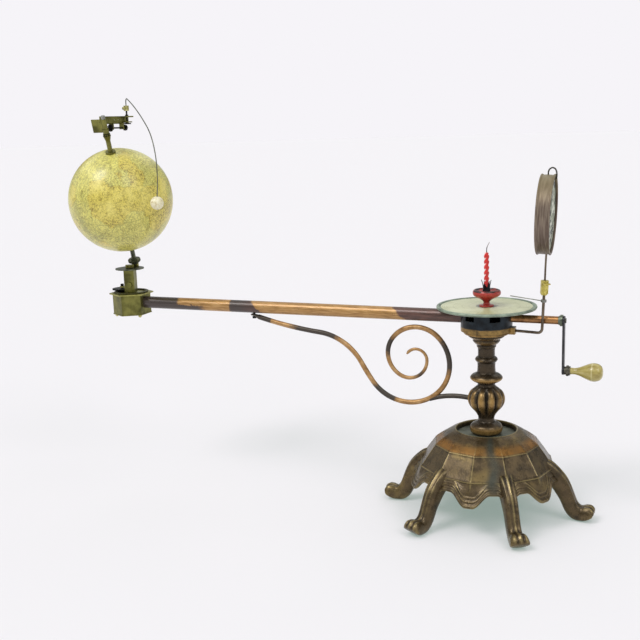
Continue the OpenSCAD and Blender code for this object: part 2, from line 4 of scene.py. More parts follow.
import bpy
import numpy as np
from mathutils import Matrix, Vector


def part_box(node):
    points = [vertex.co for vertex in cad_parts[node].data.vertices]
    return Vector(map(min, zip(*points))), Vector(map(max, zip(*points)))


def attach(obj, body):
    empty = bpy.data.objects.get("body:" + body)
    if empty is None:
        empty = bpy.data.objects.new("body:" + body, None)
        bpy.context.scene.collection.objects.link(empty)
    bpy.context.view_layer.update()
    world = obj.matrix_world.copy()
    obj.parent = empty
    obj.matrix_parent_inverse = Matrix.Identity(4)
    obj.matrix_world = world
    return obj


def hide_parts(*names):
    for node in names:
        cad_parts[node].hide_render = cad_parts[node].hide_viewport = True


# A school orrery. A footed cast stand carries a turning column and a long arm. The arm has a tilted
# globe with its moon at one end, a hand crank at the other, and a candle with its reflector between.
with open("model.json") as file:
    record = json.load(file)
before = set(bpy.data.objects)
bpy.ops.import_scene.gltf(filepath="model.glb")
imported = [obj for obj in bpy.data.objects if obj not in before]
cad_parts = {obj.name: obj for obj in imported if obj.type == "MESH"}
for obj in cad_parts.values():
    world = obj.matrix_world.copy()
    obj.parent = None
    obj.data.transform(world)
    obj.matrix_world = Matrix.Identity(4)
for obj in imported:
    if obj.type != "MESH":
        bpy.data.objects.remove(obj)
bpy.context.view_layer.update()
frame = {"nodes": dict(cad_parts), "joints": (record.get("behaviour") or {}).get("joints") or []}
cad = frame["nodes"]
joints = {joint["name"]: joint for joint in frame["joints"]}


# ---- table, light and view ----
# The instrument stands on a pale matt table under two large soft lamps, in a white tent with brighter
# panels and grey gaps between them. The viewer stands a little above the calendar disc.
def linear(code):
    """The linear RGBA of an sRGB hex colour: each channel is undone by the sRGB curve."""
    channel = np.array([int(code[i:i + 2], 16) for i in (1, 3, 5)]) / 255
    curve = np.where(channel <= 0.04045, channel / 12.92, ((channel + 0.055) / 1.055) ** 2.4)
    return (*curve.tolist(), 1.0)


def add(tree, kind, inputs=(), stops=None, out=0, **settings):
    """Adds a shader node and returns one of its outputs, or the node where out is None. inputs are the
    sockets' values by name or in order: a number, a hex colour or the output that feeds it. stops are a
    colour ramp's (place, hex colour) pairs, and the other settings are the node's own properties."""
    made = tree.nodes.new("ShaderNode" + kind)
    for key, value in settings.items():
        setattr(made, key, value)
    for key, value in inputs.items() if isinstance(inputs, dict) else enumerate(inputs):
        if isinstance(value, bpy.types.NodeSocket):
            tree.links.new(value, made.inputs[key])
        else:
            made.inputs[key].default_value = linear(value) if isinstance(value, str) else value
    if stops:
        ramp = made.color_ramp.elements
        while len(ramp) < len(stops):
            ramp.new(1.0)
        for element, (place, code) in zip(ramp, stops):
            element.position = place
            element.color = linear(code)
    return made if out is None else made.outputs[out]


def finish_named(name, metallic, roughness, **sockets):
    """A material with one Principled shader that is wired to its output. Returns material, tree, shader."""
    made = bpy.data.materials.new(name)
    made.use_nodes = True
    tree = made.node_tree
    tree.nodes.clear()
    shader = add(tree, "BsdfPrincipled", {"Metallic": metallic, "Roughness": roughness, **sockets}, out=None)
    add(tree, "OutputMaterial", {"Surface": shader.outputs[0]}, out=None)
    return made, tree, shader


# Matt white board, lit a little from below too, so that shadows on it stay faint and greenish.
table_paint, _, _ = finish_named("lit_white_table", 0.0, 1.0, **{
    "Base Color": "#ccbfc7", "Specular IOR Level": 0.0,
    "Emission Color": "#7e928a", "Emission Strength": 1.0})
reach = 30.0
table_mesh = bpy.data.meshes.new("table_top")
table_mesh.from_pydata([(-reach, -reach, 0), (reach, -reach, 0), (reach, reach, 0), (-reach, reach, 0)],
                       [], [(0, 1, 2, 3)])
table_mesh.materials.append(table_paint)
table_top = bpy.data.objects.new("table_top", table_mesh)
bpy.context.scene.collection.objects.link(table_top)

tent = bpy.data.worlds.new("white_tent")
bpy.context.scene.world = tent
tent.use_nodes = True
sky = tent.node_tree
sky.nodes.clear()
seen = add(sky, "LightPath", out="Is Camera Ray")
skyward = add(sky, "TexCoord", out="Generated")
upward = add(sky, "SeparateXYZ", (skyward,), out="Z")
roof = add(sky, "ValToRGB", (upward,),
           stops=[(0.0, "#8d918f"), (0.25, "#c9cccb"), (0.7, "#f4f5f6"), (1.0, "#ffffff")])
panels = add(sky, "TexNoise", {"Vector": skyward, "Scale": 2.6, "Detail": 0.0})
panels = add(sky, "ValToRGB", (panels,), stops=[(0.38, "#50524f"), (0.5, "#dfdfdf"), (0.62, "#ffffff")])
roof = add(sky, "MixRGB", (0.75, roof, panels), blend_type="MULTIPLY")
backing = add(sky, "Background", {"Color": "#f6f4f8", "Strength": 1.0})
glow = add(sky, "Background", {"Color": roof, "Strength": 1.4})
add(sky, "OutputWorld", {"Surface": add(sky, "MixShader", (seen, glow, backing))}, out=None)

for lamp_name, turn, height, strength, width in (
        ("left_soft_lamp", -125, 52, 1.05, 24), ("right_soft_lamp", -30, 44, 0.5, 30)):
    lamp = bpy.data.lights.new(lamp_name, "SUN")
    lamp.energy = strength
    lamp.angle = math.radians(width)
    lamp_object = bpy.data.objects.new(lamp_name, lamp)
    lamp_object.rotation_euler = (math.radians(90 - height), 0, math.radians(turn + 90))
    bpy.context.scene.collection.objects.link(lamp_object)

yaw, pitch, roll = -0.3954, 0.1970, -0.0326
forward = np.array([math.sin(yaw) * math.cos(pitch), math.cos(yaw) * math.cos(pitch), -math.sin(pitch)])
level = np.array([math.cos(yaw), -math.sin(yaw), 0])
upright = np.cross(level, forward)
side = level * math.cos(roll) + upright * math.sin(roll)
above = upright * math.cos(roll) - level * math.sin(roll)
place = np.array([0.2336, -1.0320, 0.4329])
camera = bpy.data.objects.new("camera", bpy.data.cameras.new("camera"))
camera.data.lens = 54.74
camera.data.sensor_width = 36.0
camera.data.clip_end = 200
camera.matrix_world = Matrix([[*row, place[i]] for i, row in enumerate(np.stack([side, above, -forward], 1))]
                             + [[0, 0, 0, 1]])
bpy.context.scene.collection.objects.link(camera)
bpy.context.scene.camera = camera
bpy.context.scene.view_settings.view_transform = "Standard"


# ---- cast stand ----
# One hollow iron casting: a twelve-sided bell with a recessed top and a scalloped, ribbed skirt, and
# six scroll legs with clawed feet. It was bronzed, and every ridge is gold: partly bronze rubbed bright,
# partly a painted highlight.
def grid_faces(rows, cols, ring):
    """Quads of a grid of points whose columns close on themselves, and its rows too where ring is set."""
    i, j = np.meshgrid(np.arange(rows if ring else rows - 1), np.arange(cols), indexing="ij")
    down, over = (i + 1) % rows, (j + 1) % cols
    return np.stack([i * cols + j, down * cols + j, down * cols + over, i * cols + over], -1).reshape(-1, 4)


def closed(points, ring=False, mark=None):
    """A closed surface from a grid[rows, cols] of points in mm. Columns go round it. The first and last
    rows are closed by a fan to their middle, unless the rows make a ring. mark is a value at each point.
    Its faces are turned round if the volume that they enclose comes out negative."""
    rows, cols = points.shape[:2]
    flat = points.reshape(-1, 3)
    faces = [*grid_faces(rows, cols, ring)]
    value = np.zeros(len(flat)) if mark is None else np.broadcast_to(mark, (rows, cols)).reshape(-1)
    if not ring:
        first, last, j = len(flat), len(flat) + 1, np.arange(cols)
        flat = np.vstack([flat, points[0].mean(0), points[-1].mean(0)])
        value = np.append(value, [value[0], value[-1]])
        foot = (rows - 1) * cols
        faces += [*np.stack([np.full(cols, first), j, (j + 1) % cols], -1)]
        faces += [*np.stack([np.full(cols, last), foot + (j + 1) % cols, foot + j], -1)]
    fans = np.array([(f[0], f[k], f[k + 1]) for f in faces for k in range(1, len(f) - 1)])
    volume = np.einsum("ij,ij->i", flat[fans[:, 0]], np.cross(flat[fans[:, 1]], flat[fans[:, 2]])).sum()
    if volume < 0:
        faces = [f[::-1] for f in faces]
    return flat, [f.tolist() for f in faces], value


def piece(name, body, finish, surfaces, replaced=(), crease=38):
    """One object from closed surfaces. It rides on a CAD body and stands for the replaced CAD nodes.
    The attribute "edge" is how far each point stands out of its neighbours' mean, along the normal and
    in shares of their distance. It is above 0 on ridges and below 0 in hollows."""
    points = np.vstack([surface[0] for surface in surfaces])
    marks = np.concatenate([surface[2] for surface in surfaces])
    starts = np.cumsum([0] + [len(surface[0]) for surface in surfaces])
    faces = [[k + start for k in face] for surface, start in zip(surfaces, starts) for face in surface[1]]
    mesh = bpy.data.meshes.new(name)
    mesh.from_pydata((points * 0.001).tolist(), [], faces)
    mesh.validate()
    mesh.shade_smooth()
    mesh.set_sharp_from_angle(angle=math.radians(crease))
    pairs = np.empty(len(mesh.edges) * 2, np.int64)
    mesh.edges.foreach_get("vertices", pairs)
    pairs = pairs.reshape(-1, 2)
    normal = np.empty(len(mesh.vertices) * 3)
    mesh.vertices.foreach_get("normal", normal)
    normal = normal.reshape(-1, 3)
    out, length, count = np.zeros((len(points), 3)), np.zeros(len(points)), np.zeros(len(points))
    gap = points[pairs[:, 1]] - points[pairs[:, 0]]
    for at, sign in ((0, 1), (1, -1)):
        np.add.at(out, pairs[:, at], sign * gap)
        np.add.at(length, pairs[:, at], np.linalg.norm(gap, axis=1))
        np.add.at(count, pairs[:, at], 1)
    edge = -np.einsum("ij,ij->i", out, normal) / np.maximum(length, 1e-9)
    for title, values in (("edge", edge), ("mark", marks)):
        mesh.attributes.new(title, "FLOAT", "POINT").data.foreach_set("value", values.astype(np.float32))
    mesh.materials.append(finish)
    made = bpy.data.objects.new(name, mesh)
    bpy.context.scene.collection.objects.link(made)
    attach(made, body)
    if replaced:
        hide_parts(*replaced)
    return made


def through(knots, count):
    """A smooth line through the knots: a Catmull-Rom curve, sampled at count even steps of its knots."""
    knots = np.asarray(knots, float)
    padded = np.vstack([2 * knots[0] - knots[1], knots, 2 * knots[-1] - knots[-2]])
    at = np.linspace(0, len(knots) - 1, count)
    i = np.minimum(at.astype(int), len(knots) - 2)
    t = (at - i)[:, None]
    a, b, c, d = (padded[i + k] for k in range(4))
    return 0.5 * (2 * b + (c - a) * t + (2 * a - 5 * b + 4 * c - d) * t ** 2
                  + (3 * b - a - 3 * c + d) * t ** 3)


def bump(x, width):
    """A round ridge: 1 at x = 0, falling as a bell curve of that half width."""
    return np.exp(-(x / width) ** 2)


def step(x, low, high):
    """A smooth step from 0 at low to 1 at high."""
    t = np.clip((x - low) / (high - low), 0, 1)
    return t * t * (3 - 2 * t)


def whole_turn(count):
    """That many even angles round a whole turn, in radians."""
    return np.radians(np.linspace(0, 360, count, endpoint=False))


turns = whole_turn(384)
panel = np.abs((np.degrees(turns) + 15) % 30 - 15)
flat_side = math.cos(math.radians(15)) / np.cos(np.radians(15 - panel))
corner = bump(panel, 0.7)
lobe = 30 - np.abs((np.degrees(turns) + 30) % 60 - 30)
skirt_edge = 33.6 + 13.4 * step(lobe, 2.5, 15.5) - 5.0 * step(lobe, 21, 28)

bell = through([(35.3, 95.3), (39.5, 93.6), (45.0, 90.6), (50.5, 87.4), (55.0, 84.0), (58.0, 81.0)], 26)
lower_bell = through([(58.0, 81.0), (62.2, 75.2), (67.0, 68.6), (71.3, 62.2), (75.2, 56.8)], 30)
bell = np.vstack([bell, lower_bell[1:]])
bell_r, bell_z = bell[:, :1], bell[:, 1:]
radius = bell_r * (1 + (flat_side - 1) * step(bell_r, 36, 50)) + 0.25 * corner * step(bell_r, 54, 62)
radius = radius + 0.5 * bump(bell_z - 80.8, 0.6) + 0.8 * bump(bell_z - 57.4, 0.8)
radius = radius - 0.5 * bump(bell_z - 86.5, 3.0)
height = np.broadcast_to(bell_z, radius.shape)
fall = np.linspace(0, 1, 46)[1:, None]
skirt_z = 56.8 + (skirt_edge - 56.8) * fall
skirt_r = 75.2 + (56.8 - skirt_z) * 0.36 + 1.6 * step(fall, 0.6, 1.0)
to_edge = (skirt_z - skirt_edge) * 0.8
ribs = 0.9 * bump(to_edge - 1.3, 0.9) + 0.75 * bump(to_edge - 4.6, 0.8) + 0.6 * bump(to_edge - 7.6, 0.8)
skirt_r = (skirt_r + ribs) * (1 + (flat_side - 1) * (1 - step(fall, 0.0, 0.5)))
under_r, under_z = np.array([(-0.4, -0.9), (-1.8, -1.3), (-3.6, -0.9), (-4.6, 0.6)]).T[..., None]
wall_r, wall_z = np.array([(75, 43), (73, 48), (69, 56), (62, 66), (52, 76), (44, 83.5)]).T[..., None]
recess_r, recess_z = np.array([(34, 84), (22, 84), (9.5, 84), (9.5, 88), (20, 88), (32.2, 88), (33.0, 88.6),
                               (33.1, 94.6), (33.4, 95.5), (34.4, 95.8)]).T[..., None] + 0 * turns
shell_r = np.vstack([radius, skirt_r, skirt_r[-1] + under_r, wall_r * flat_side, recess_r])
shell_z = np.vstack([height, skirt_z, skirt_edge + under_z, np.maximum(wall_z, skirt_edge + 1), recess_z])
shell = np.stack([shell_r * np.cos(turns), shell_r * np.sin(turns), shell_z], -1)

along = np.linspace(0, 1, 64)
leg_top = through([
    (67, 66), (73, 63.5), (80, 57.8), (88.3, 48.6), (93.5, 39), (97.2, 29.5), (100.8, 20.5), (105.2, 16.2),
    (110.6, 17.3), (115.4, 16.8), (118.7, 13.6), (119.3, 10.4), (118.0, 7.8)], 64)
leg_low = through([(68, 42), (73, 36), (78, 28.5), (82.6, 20.8), (86.2, 12.4), (90, 6.2), (95, 1.8),
                   (100, 0.2), (104.0, 0.1), (107.6, 0.4), (111.0, 1.9), (113.9, 3.9), (116.4, 6.2)], 64)
around = whole_turn(56)
rounding = 0.74
out_share, wide_share = (np.sign(wave) * np.abs(wave) ** rounding
                         for wave in (np.cos(around), np.sin(around)))
half_width = through([[wide] for wide in (9.6, 8.4, 7.7, 7.5, 8.0, 9.6, 10.4, 9.4)], 64)[:, 0]
middle, reach_out = (leg_top + leg_low) / 2, (leg_top - leg_low) / 2
ridge = np.cos(wide_share * math.pi * 3.0)[None, :] * np.clip(np.cos(around), 0, 1)[None, :]
toes = step(along, 0.66, 0.8)[:, None]
swell = 1 + (0.045 * (1 - toes) + 0.10 * toes) * ridge
leg_plane = middle[:, None, :] + reach_out[:, None, :] * (out_share * swell)[..., None]
leg_x, leg_y = leg_plane[..., 0], half_width[:, None] * wide_share * (1 + 0.02 * ridge)
outside = np.arange(len(shell_z))[:, None] < len(radius) + len(skirt_r)
copper_band = 1.2 * step(shell_z, 80.5, 82.5) * (1 - step(shell_z, 85.5, 90.5)) * outside
drip_at = np.radians(-71) + 0.03 * np.sin(shell_z / 5)
drip = bump((turns - drip_at + math.pi) % math.tau - math.pi, 0.085) * outside
copper_band = copper_band * (1 - drip) - 1.1 * drip * step(shell_z, 40, 60)
stand_surfaces = [closed(shell, ring=True, mark=copper_band)]
for turn in np.radians(np.arange(6) * 60):
    stand_surfaces.append(closed(np.stack([
        leg_x * math.cos(turn) - leg_y * math.sin(turn), leg_x * math.sin(turn) + leg_y * math.cos(turn),
        np.maximum(leg_plane[..., 1], 0)], -1)))


def lay(tree, shader, tone, relief=None, gloss=None, soft=None):
    """Joins a finish to its shader: its tone, its relief (a height, its strength, and its depth in metres)
    and its gloss (a pattern, and the roughness where it is 0 and 1). soft is a normal under the relief."""
    tree.links.new(tone, shader.inputs["Base Color"])
    if gloss:
        tree.links.new(add(tree, "MapRange", (gloss[0], 0, 1, *gloss[1:])), shader.inputs["Roughness"])
    if relief:
        sockets = dict(zip(("Height", "Strength", "Distance"), relief))
        if soft:
            sockets["Normal"] = soft
        tree.links.new(add(tree, "Bump", sockets), shader.inputs["Normal"])


def bronzed(name, dark, mid, bright, patch, gilt, relief_at=0.045):
    """Bronzed cast iron, sand-cast and lacquered: brown in the hollows, gold on the ridges, partly rubbed by
    hands and dusters and partly a painted highlight, with grey-blue patches 40 mm wide where the lacquer
    went, and a 1.5 mm cast grain.
    gilt is the paint where the attribute "mark" is 1, broken up by worn spots about 30 mm wide."""
    made, tree, shader = finish_named(name, 0.62, 0.42)
    spot = add(tree, "TexCoord", out="Object")
    patches = add(tree, "TexNoise", {"Vector": spot, "Scale": 1000 / 40, "Detail": 3.0, "Roughness": 0.6})
    streaks = add(tree, "TexNoise", {"Vector": spot, "Scale": 1000 / 9, "Detail": 5.0, "Roughness": 0.65})
    grain = add(tree, "TexNoise", {"Vector": spot, "Scale": 1000 / 1.5, "Detail": 3.0})
    wear = add(tree, "TexNoise", {"Vector": spot, "Scale": 1000 / 30, "Detail": 4.0})
    edge = add(tree, "Attribute", out="Fac", attribute_name="edge")
    rub = add(tree, "Math", (streaks, 0.2, -0.115), operation="MULTIPLY_ADD")
    rub = add(tree, "Math", (edge, rub), operation="ADD")
    # Bright ridges and dark hollows from the edge attribute: the bright ridges are partly rubbed bronze and
    # partly a painted highlight.
    rubbed_and_highlit = add(tree, "MapRange", (rub, 0.02, relief_at, 0, 0.75))
    hollow = add(tree, "MapRange", (rub, -0.02, -relief_at, 0, 0.7))
    base = add(tree, "ValToRGB", (patches,), stops=[(0.34, dark), (0.46, mid), (0.55, mid), (0.68, patch)])
    kept = add(tree, "MapRange", (wear, 0.3, 0.55, 0.35, 1))
    mark = add(tree, "Attribute", out="Fac", attribute_name="mark")
    painted = add(tree, "Math", (mark, kept), operation="MULTIPLY", use_clamp=True)
    dripped = add(tree, "Math", (mark, -1.0), operation="MULTIPLY", use_clamp=True)
    dripped = add(tree, "Math", (dripped, kept), operation="MULTIPLY")
    base = add(tree, "MixRGB", (painted, base, gilt))
    fine = add(tree, "ValToRGB", (streaks,), stops=[(0.3, "#9a9a9a"), (0.7, "#ffffff")])
    base = add(tree, "MixRGB", (0.6, base, fine), blend_type="MULTIPLY")
    base = add(tree, "MixRGB", (hollow, base, "#241d15"))
    base = add(tree, "MixRGB", (rubbed_and_highlit, base, bright))
    base = add(tree, "MixRGB", (dripped, base, "#46463c"))
    lay(tree, shader, base, (grain, 0.28, 0.0006), (streaks, 0.08, 0.48))
    return made


stand_bronze = bronzed("bronzed_iron_stand", "#40372a", "#615138", "#8b7b52", "#7d6a42", "#94682f", 0.095)
piece("stand_casting", "stand", stand_bronze, stand_surfaces, ["base_casting"])


# ---- steel and brass small parts ----
# The plate in the stand's recess, the spindle, the nut and the washer are turned steel and brass. They
# are old stock parts, machined and never polished again, so they have gone dull and greenish.
def metal(name, dark, bright, roughness, spot_mm, metallic=0.9, grain=0.15):
    """Machined metal that has dulled: two tones in spots of that size, fine turning marks 0.5 mm apart, and
    edges that were broken with a file, about 0.25 mm round."""
    made, tree, shader = finish_named(name, metallic, roughness)
    spot = add(tree, "TexCoord", out="Object")
    tarnish = add(tree, "TexNoise", {
        "Vector": spot, "Scale": 1000 / spot_mm, "Detail": 5.0, "Roughness": 0.6})
    marks = add(tree, "TexNoise", {"Vector": spot, "Scale": 1000 / 0.5, "Detail": 2.0})
    tone = add(tree, "ValToRGB", (tarnish,), stops=[(0.36, dark), (0.62, bright)])
    soft = add(tree, "Bevel", {"Radius": 0.00025}, samples=4)
    lay(tree, shader, tone, (marks, grain, 0.0002), (tarnish, roughness - 0.12, roughness + 0.14), soft)
    return made


def dress(finish, *names):
    """Gives CAD nodes their finish."""
    for name in names:
        cad[name].data.materials.clear()
        cad[name].data.materials.append(finish)


green_plate = metal("painted_recess_plate", "#4a4d42", "#74786a", 0.55, 12, metallic=0.35)
old_steel = metal("dull_turned_steel", "#3c3b37", "#6d6b63", 0.42, 6)
old_brass = metal("tarnished_brass", "#5e5a2c", "#8f8a4a", 0.4, 8)
dress(green_plate, "recess_plate")
dress(old_steel, "spindle", "spindle_nut")
dress(old_brass, "thrust_washer", "column_bushes", "shaft_bushes")


# ---- column ----
# A hollow iron casting that turns on the spindle: a torus foot, a melon of ten lobes, ring and bead
# mouldings, and a stepped capital. The gold on the bellies of the mouldings and lobes is partly gilding
# and partly a painted highlight.
def turned(profile, count=160, swell=None):
    """A grid for a turned shape: each (radius, height) of the profile carried round the upright axis.
    swell, where given, is a factor on the radius at each row and column."""
    angle = whole_turn(count)
    r = profile[:, :1] * (np.ones(count) if swell is None else swell)
    return np.stack([r * np.cos(angle), r * np.sin(angle), np.broadcast_to(profile[:, 1:], r.shape)], -1)


moulding = through([
    (14.6, 91.0), (17.2, 92.5), (18, 96.3), (16.8, 100), (13.5, 102.5), (9.8, 104.5), (9, 109), (11.5, 114),
    (16.5, 119.5), (19.5, 124.5), (20.5, 129.8), (19.6, 135), (17, 139.5), (12.5, 143), (9.9, 145.5),
    (10, 148), (15.5, 151), (17.9, 154.1), (15.5, 157.5), (10.8, 160), (9.9, 164), (9.9, 171), (11.4, 173),
    (12.4, 175.1), (11, 177.4), (9.4, 179), (9.4, 187), (10.6, 189.6), (10.7, 191.5), (13.0, 193.6),
    (14.9, 196), (15.0, 198), (17.6, 199.8), (19.9, 201.5), (20.0, 203.4), (24.2, 204.2), (24.4, 206.2),
    (24.2, 207.5)], 360)
lobe_turn = math.radians(-95.2)
column_turns = whole_turn(240)
at_z = moulding[:, 1:]
melon = step(at_z, 109, 117) * (1 - step(at_z, 139, 145.5))
furrow = (1 - np.abs(np.cos(5 * (column_turns - lobe_turn)))) ** 1.3
# Gold on the torus foot, the rings, the capital and the bellies of the lobes, none in the furrows: partly
# gilding, partly a painted highlight where the curves catch the light.
gilding_and_highlight = (bump(at_z - 95.5, 3.0) + bump(at_z - 152.8, 2.2) + bump(at_z - 205.3, 1.4)
           + melon * bump(at_z - 129, 11) * (1 - np.minimum(1, 2.2 * furrow))
           + 0.6 * bump(at_z - 200, 1.4) + 0.5 * bump(at_z - 194, 1.2))
column_grid = turned(moulding, 240, 1 - 0.2 * melon * furrow)
column_bronze = bronzed("bronzed_iron_column", "#30281f", "#483c2c", "#a08555", "#3f3d36", "#bb9354", 0.075)
piece("column_casting", "arm", column_bronze, [closed(column_grid, mark=gilding_and_highlight)], ["column"])


# ---- gear cage and fixed wheel ----
# A blackened ring on the capital carries both tubes and hides the fixed crown wheel, with a window
# between each pair of posts. Oil and soot keep it nearly black.
soot_steel = metal("blackened_steel", "#0d1013", "#20262a", 0.42, 7, metallic=0.6)
dress(soot_steel, "sun_wheel")
# Blackened steel with a dull shine, gilded in blotches 9 mm wide along its foot.
cage_finish, tree, shader = finish_named("blackened_cage_with_gilded_foot", 0.6, 0.36)
spot = add(tree, "TexCoord", out="Object")
blotches = add(tree, "TexNoise", {"Vector": spot, "Scale": 1000 / 9, "Detail": 4.0, "Roughness": 0.65})
height_at = add(tree, "SeparateXYZ", (spot,), out="Z")
edge_at = add(tree, "Math", (blotches, 0.003, height_at), operation="MULTIPLY_ADD")
foot_gilt = add(tree, "MapRange", (edge_at, 0.2145, 0.2135))
foot_tone = add(tree, "ValToRGB", (blotches,), stops=[(0.35, "#4f4029"), (0.6, "#a08048")])
soot_tone = add(tree, "ValToRGB", (blotches,), stops=[(0.36, "#0d1216"), (0.62, "#232c33")])
lay(tree, shader, add(tree, "MixRGB", (foot_gilt, soot_tone, foot_tone)))
dress(cage_finish, "gear_cage")
dress(old_brass, "crank_pinion", "sun_pinion", "table_pinion")
dress(old_steel, "arm_shaft", "crank_shaft")


# ---- arm tube ----
# A drawn steel tube painted purple-brown, then gilded between masks: dark at the gearbox, ochre that at
# first covers only the upper half, down to a ragged line (partly worn paint, partly a painted highlight on
# top and painted shade below), dark round the scroll's tab, gold along the middle, and brown again at the
# column.
def span(tree, along, low, high, soft):
    """A mask that is 1 from low to high metres along, with edges that wide."""
    first = add(tree, "MapRange", (along, low - soft, low + soft))
    after = add(tree, "MapRange", (along, high + soft, high - soft))
    return add(tree, "Math", (first, after), operation="MULTIPLY")


# Paint and bronze powder brushed on along the tube: streaks 1.6 mm apart under a soft varnish, with chips
# 3 mm wide and mask edges that bled in 7 mm runs.
painted_tube, tree, shader = finish_named("gilded_and_japanned_tube", 0.35, 0.36, **{"Coat Weight": 0.25})
spot = add(tree, "TexCoord", out="Object")
axes = add(tree, "SeparateXYZ", (spot,), out=None)
ragged = add(tree, "TexNoise", {"Vector": spot, "Scale": 1000 / 7, "Detail": 6.0, "Roughness": 0.7})
drift = add(tree, "Math", (ragged, 0.012, -0.006), operation="MULTIPLY_ADD")
tube_x = add(tree, "Math", (axes.outputs["X"], drift), operation="ADD")
mask_slant, axis_z = 1.1, 0.222
slanted = add(tree, "Math", (axes.outputs["Z"], mask_slant, tube_x), operation="MULTIPLY_ADD")
slanted = add(tree, "Math", (slanted, axis_z * mask_slant), operation="SUBTRACT")
along_grain = add(tree, "Mapping", {"Vector": spot, "Scale": (0.12, 1.0, 1.0)})
brushed = add(tree, "TexNoise", {"Vector": along_grain, "Scale": 1000 / 1.6, "Detail": 4.0})
gold = add(tree, "ValToRGB", (brushed,), stops=[(0.3, "#8d6638"), (0.5, "#aa8049"), (0.72, "#c29b66")])
brown = add(tree, "ValToRGB", (brushed,), stops=[(0.3, "#40302b"), (0.7, "#6a4a40")])
ochre_span = span(tree, tube_x, -0.385, -0.312, 0.0012)
# From -385 to -352 mm the ochre stays on the tube's upper half and the underside stays brown: partly worn
# paint, partly painted light, the top lit and the underside in shade.
lit_upper_half = add(tree, "Math", (axes.outputs["Z"], drift), operation="ADD")
lit_upper_half = add(tree, "MapRange", (lit_upper_half, 0.2212, 0.2222))
ochre_cover_lit_top = add(tree, "Math", (lit_upper_half, span(tree, tube_x, -0.352, -0.300, 0.006)), operation="MAXIMUM")
ochre_span = add(tree, "Math", (ochre_span, ochre_cover_lit_top), operation="MULTIPLY")
gold_span = span(tree, slanted, -0.277, -0.099, 0.0012)
gilt = add(tree, "Math", (ochre_span, gold_span), operation="MAXIMUM")
tone = add(tree, "MixRGB", (gilt, brown, gold))
dark_ends = add(tree, "MapRange", (tube_x, -0.270, -0.300))
not_gilt = add(tree, "Math", (1.0, gilt), operation="SUBTRACT")
dark_ends = add(tree, "Math", (dark_ends, not_gilt), operation="MULTIPLY")
tone = add(tree, "MixRGB", (dark_ends, tone, "#473d39"))
chips = add(tree, "TexNoise", {"Vector": spot, "Scale": 1000 / 3.2, "Detail": 5.0, "Roughness": 0.75})
chipped = add(tree, "MapRange", (chips, 0.64, 0.67))
tone = add(tree, "MixRGB", (chipped, tone, "#3a2c24"))
lay(tree, shader, tone, (chips, 0.2, 0.0003), (brushed, 0.24, 0.48))
dress(painted_tube, "arm_tube")
copper_tube = metal("copper_lacquered_tube", "#6d4a30", "#a87c50", 0.3, 12)
dress(copper_tube, "stub_tube")


# ---- scroll bracket ----
# One bar of 6 mm iron, bent hot round formers into a long S and a scroll of one and three quarter turns.
# A short second bar ties it to the column. It was gilded over black, and the black shows in stretches.
def bent(start, heading, arcs, spacing=1.5):
    """Points and headings along arcs in a plane. Each arc is a signed radius in mm and a sweep in degrees,
    and it starts along the heading that the last one ended on. A point comes about every spacing mm."""
    points, headings = [np.array([start], float)], [np.radians([heading])]
    for size, sweep in arcs:
        count = max(2, math.ceil(abs(size) * math.radians(sweep) / spacing))
        start_angle = headings[-1][-1]
        angle = start_angle + math.copysign(math.radians(sweep), size) * np.arange(1, count + 1) / count
        points.append(points[-1][-1] + size * np.stack([np.sin(angle) - math.sin(start_angle),
                                                        math.cos(start_angle) - np.cos(angle)], -1))
        headings.append(angle)
    return np.vstack(points), np.concatenate(headings)


def swept(path, radius, across, count=20, flat=1.0):
    """A round bar along a path that lies in one plane: each row is a circle in the plane of the path's
    normal and the given direction across the path's plane. flat squeezes it along that direction."""
    path, across = np.asarray(path, float), np.asarray(across, float)
    run = np.gradient(path, axis=0)
    run /= np.linalg.norm(run, axis=1)[:, None]
    inward = np.cross(run, across)
    angle = whole_turn(count)[None, :, None]
    size = (np.zeros(len(path)) + radius)[:, None, None]
    flat = (np.zeros(len(path)) + flat)[:, None, None]
    return path[:, None] + size * (np.cos(angle) * inward[:, None] + flat * np.sin(angle) * across)


scroll_xz, _ = bent((-277, 210.2), -15.5, [(490, 9.4), (-68, 54), (280, 5), (52, 90), (45, 101.5), (35.3, 97),
                                           (29.3, 92), (21.4, 125), (12.6, 150)])
tail_xz, _ = bent((-65, 124.4), 20, [(-95, 28)])
share = np.linspace(0, 1, len(scroll_xz))
thick = 2.9 - 1.2 * step(share, 0.7, 1.0) - 0.9 * step(share, 0.994, 1.0) + 0.06 * np.sin(share * 90)
in_plane = np.array([0, 1.0, 0])
tab_xz = through([(-285.5, 212.7), (-283, 212.5), (-279.5, 211.4), (-275.5, 209.8), (-271, 208.5)], 24)
scroll_3d, tail_3d, tab_3d = (np.insert(xz, 1, 0, axis=1) for xz in (scroll_xz, tail_xz, tab_xz))
narrowing = step(np.linspace(0, 1, 24), 0.3, 1.0)
black_run = 1 - step(share, 0.025, 0.04)
for at, half_run, strength in ((0.145, 0.055, 1), (0.365, 0.03, 1), (0.59, 0.045, 0.8), (0.77, 0.03, 0.7),
                               (0.9, 0.02, 0.5)):
    black_run = black_run + strength * bump(share - at, half_run)
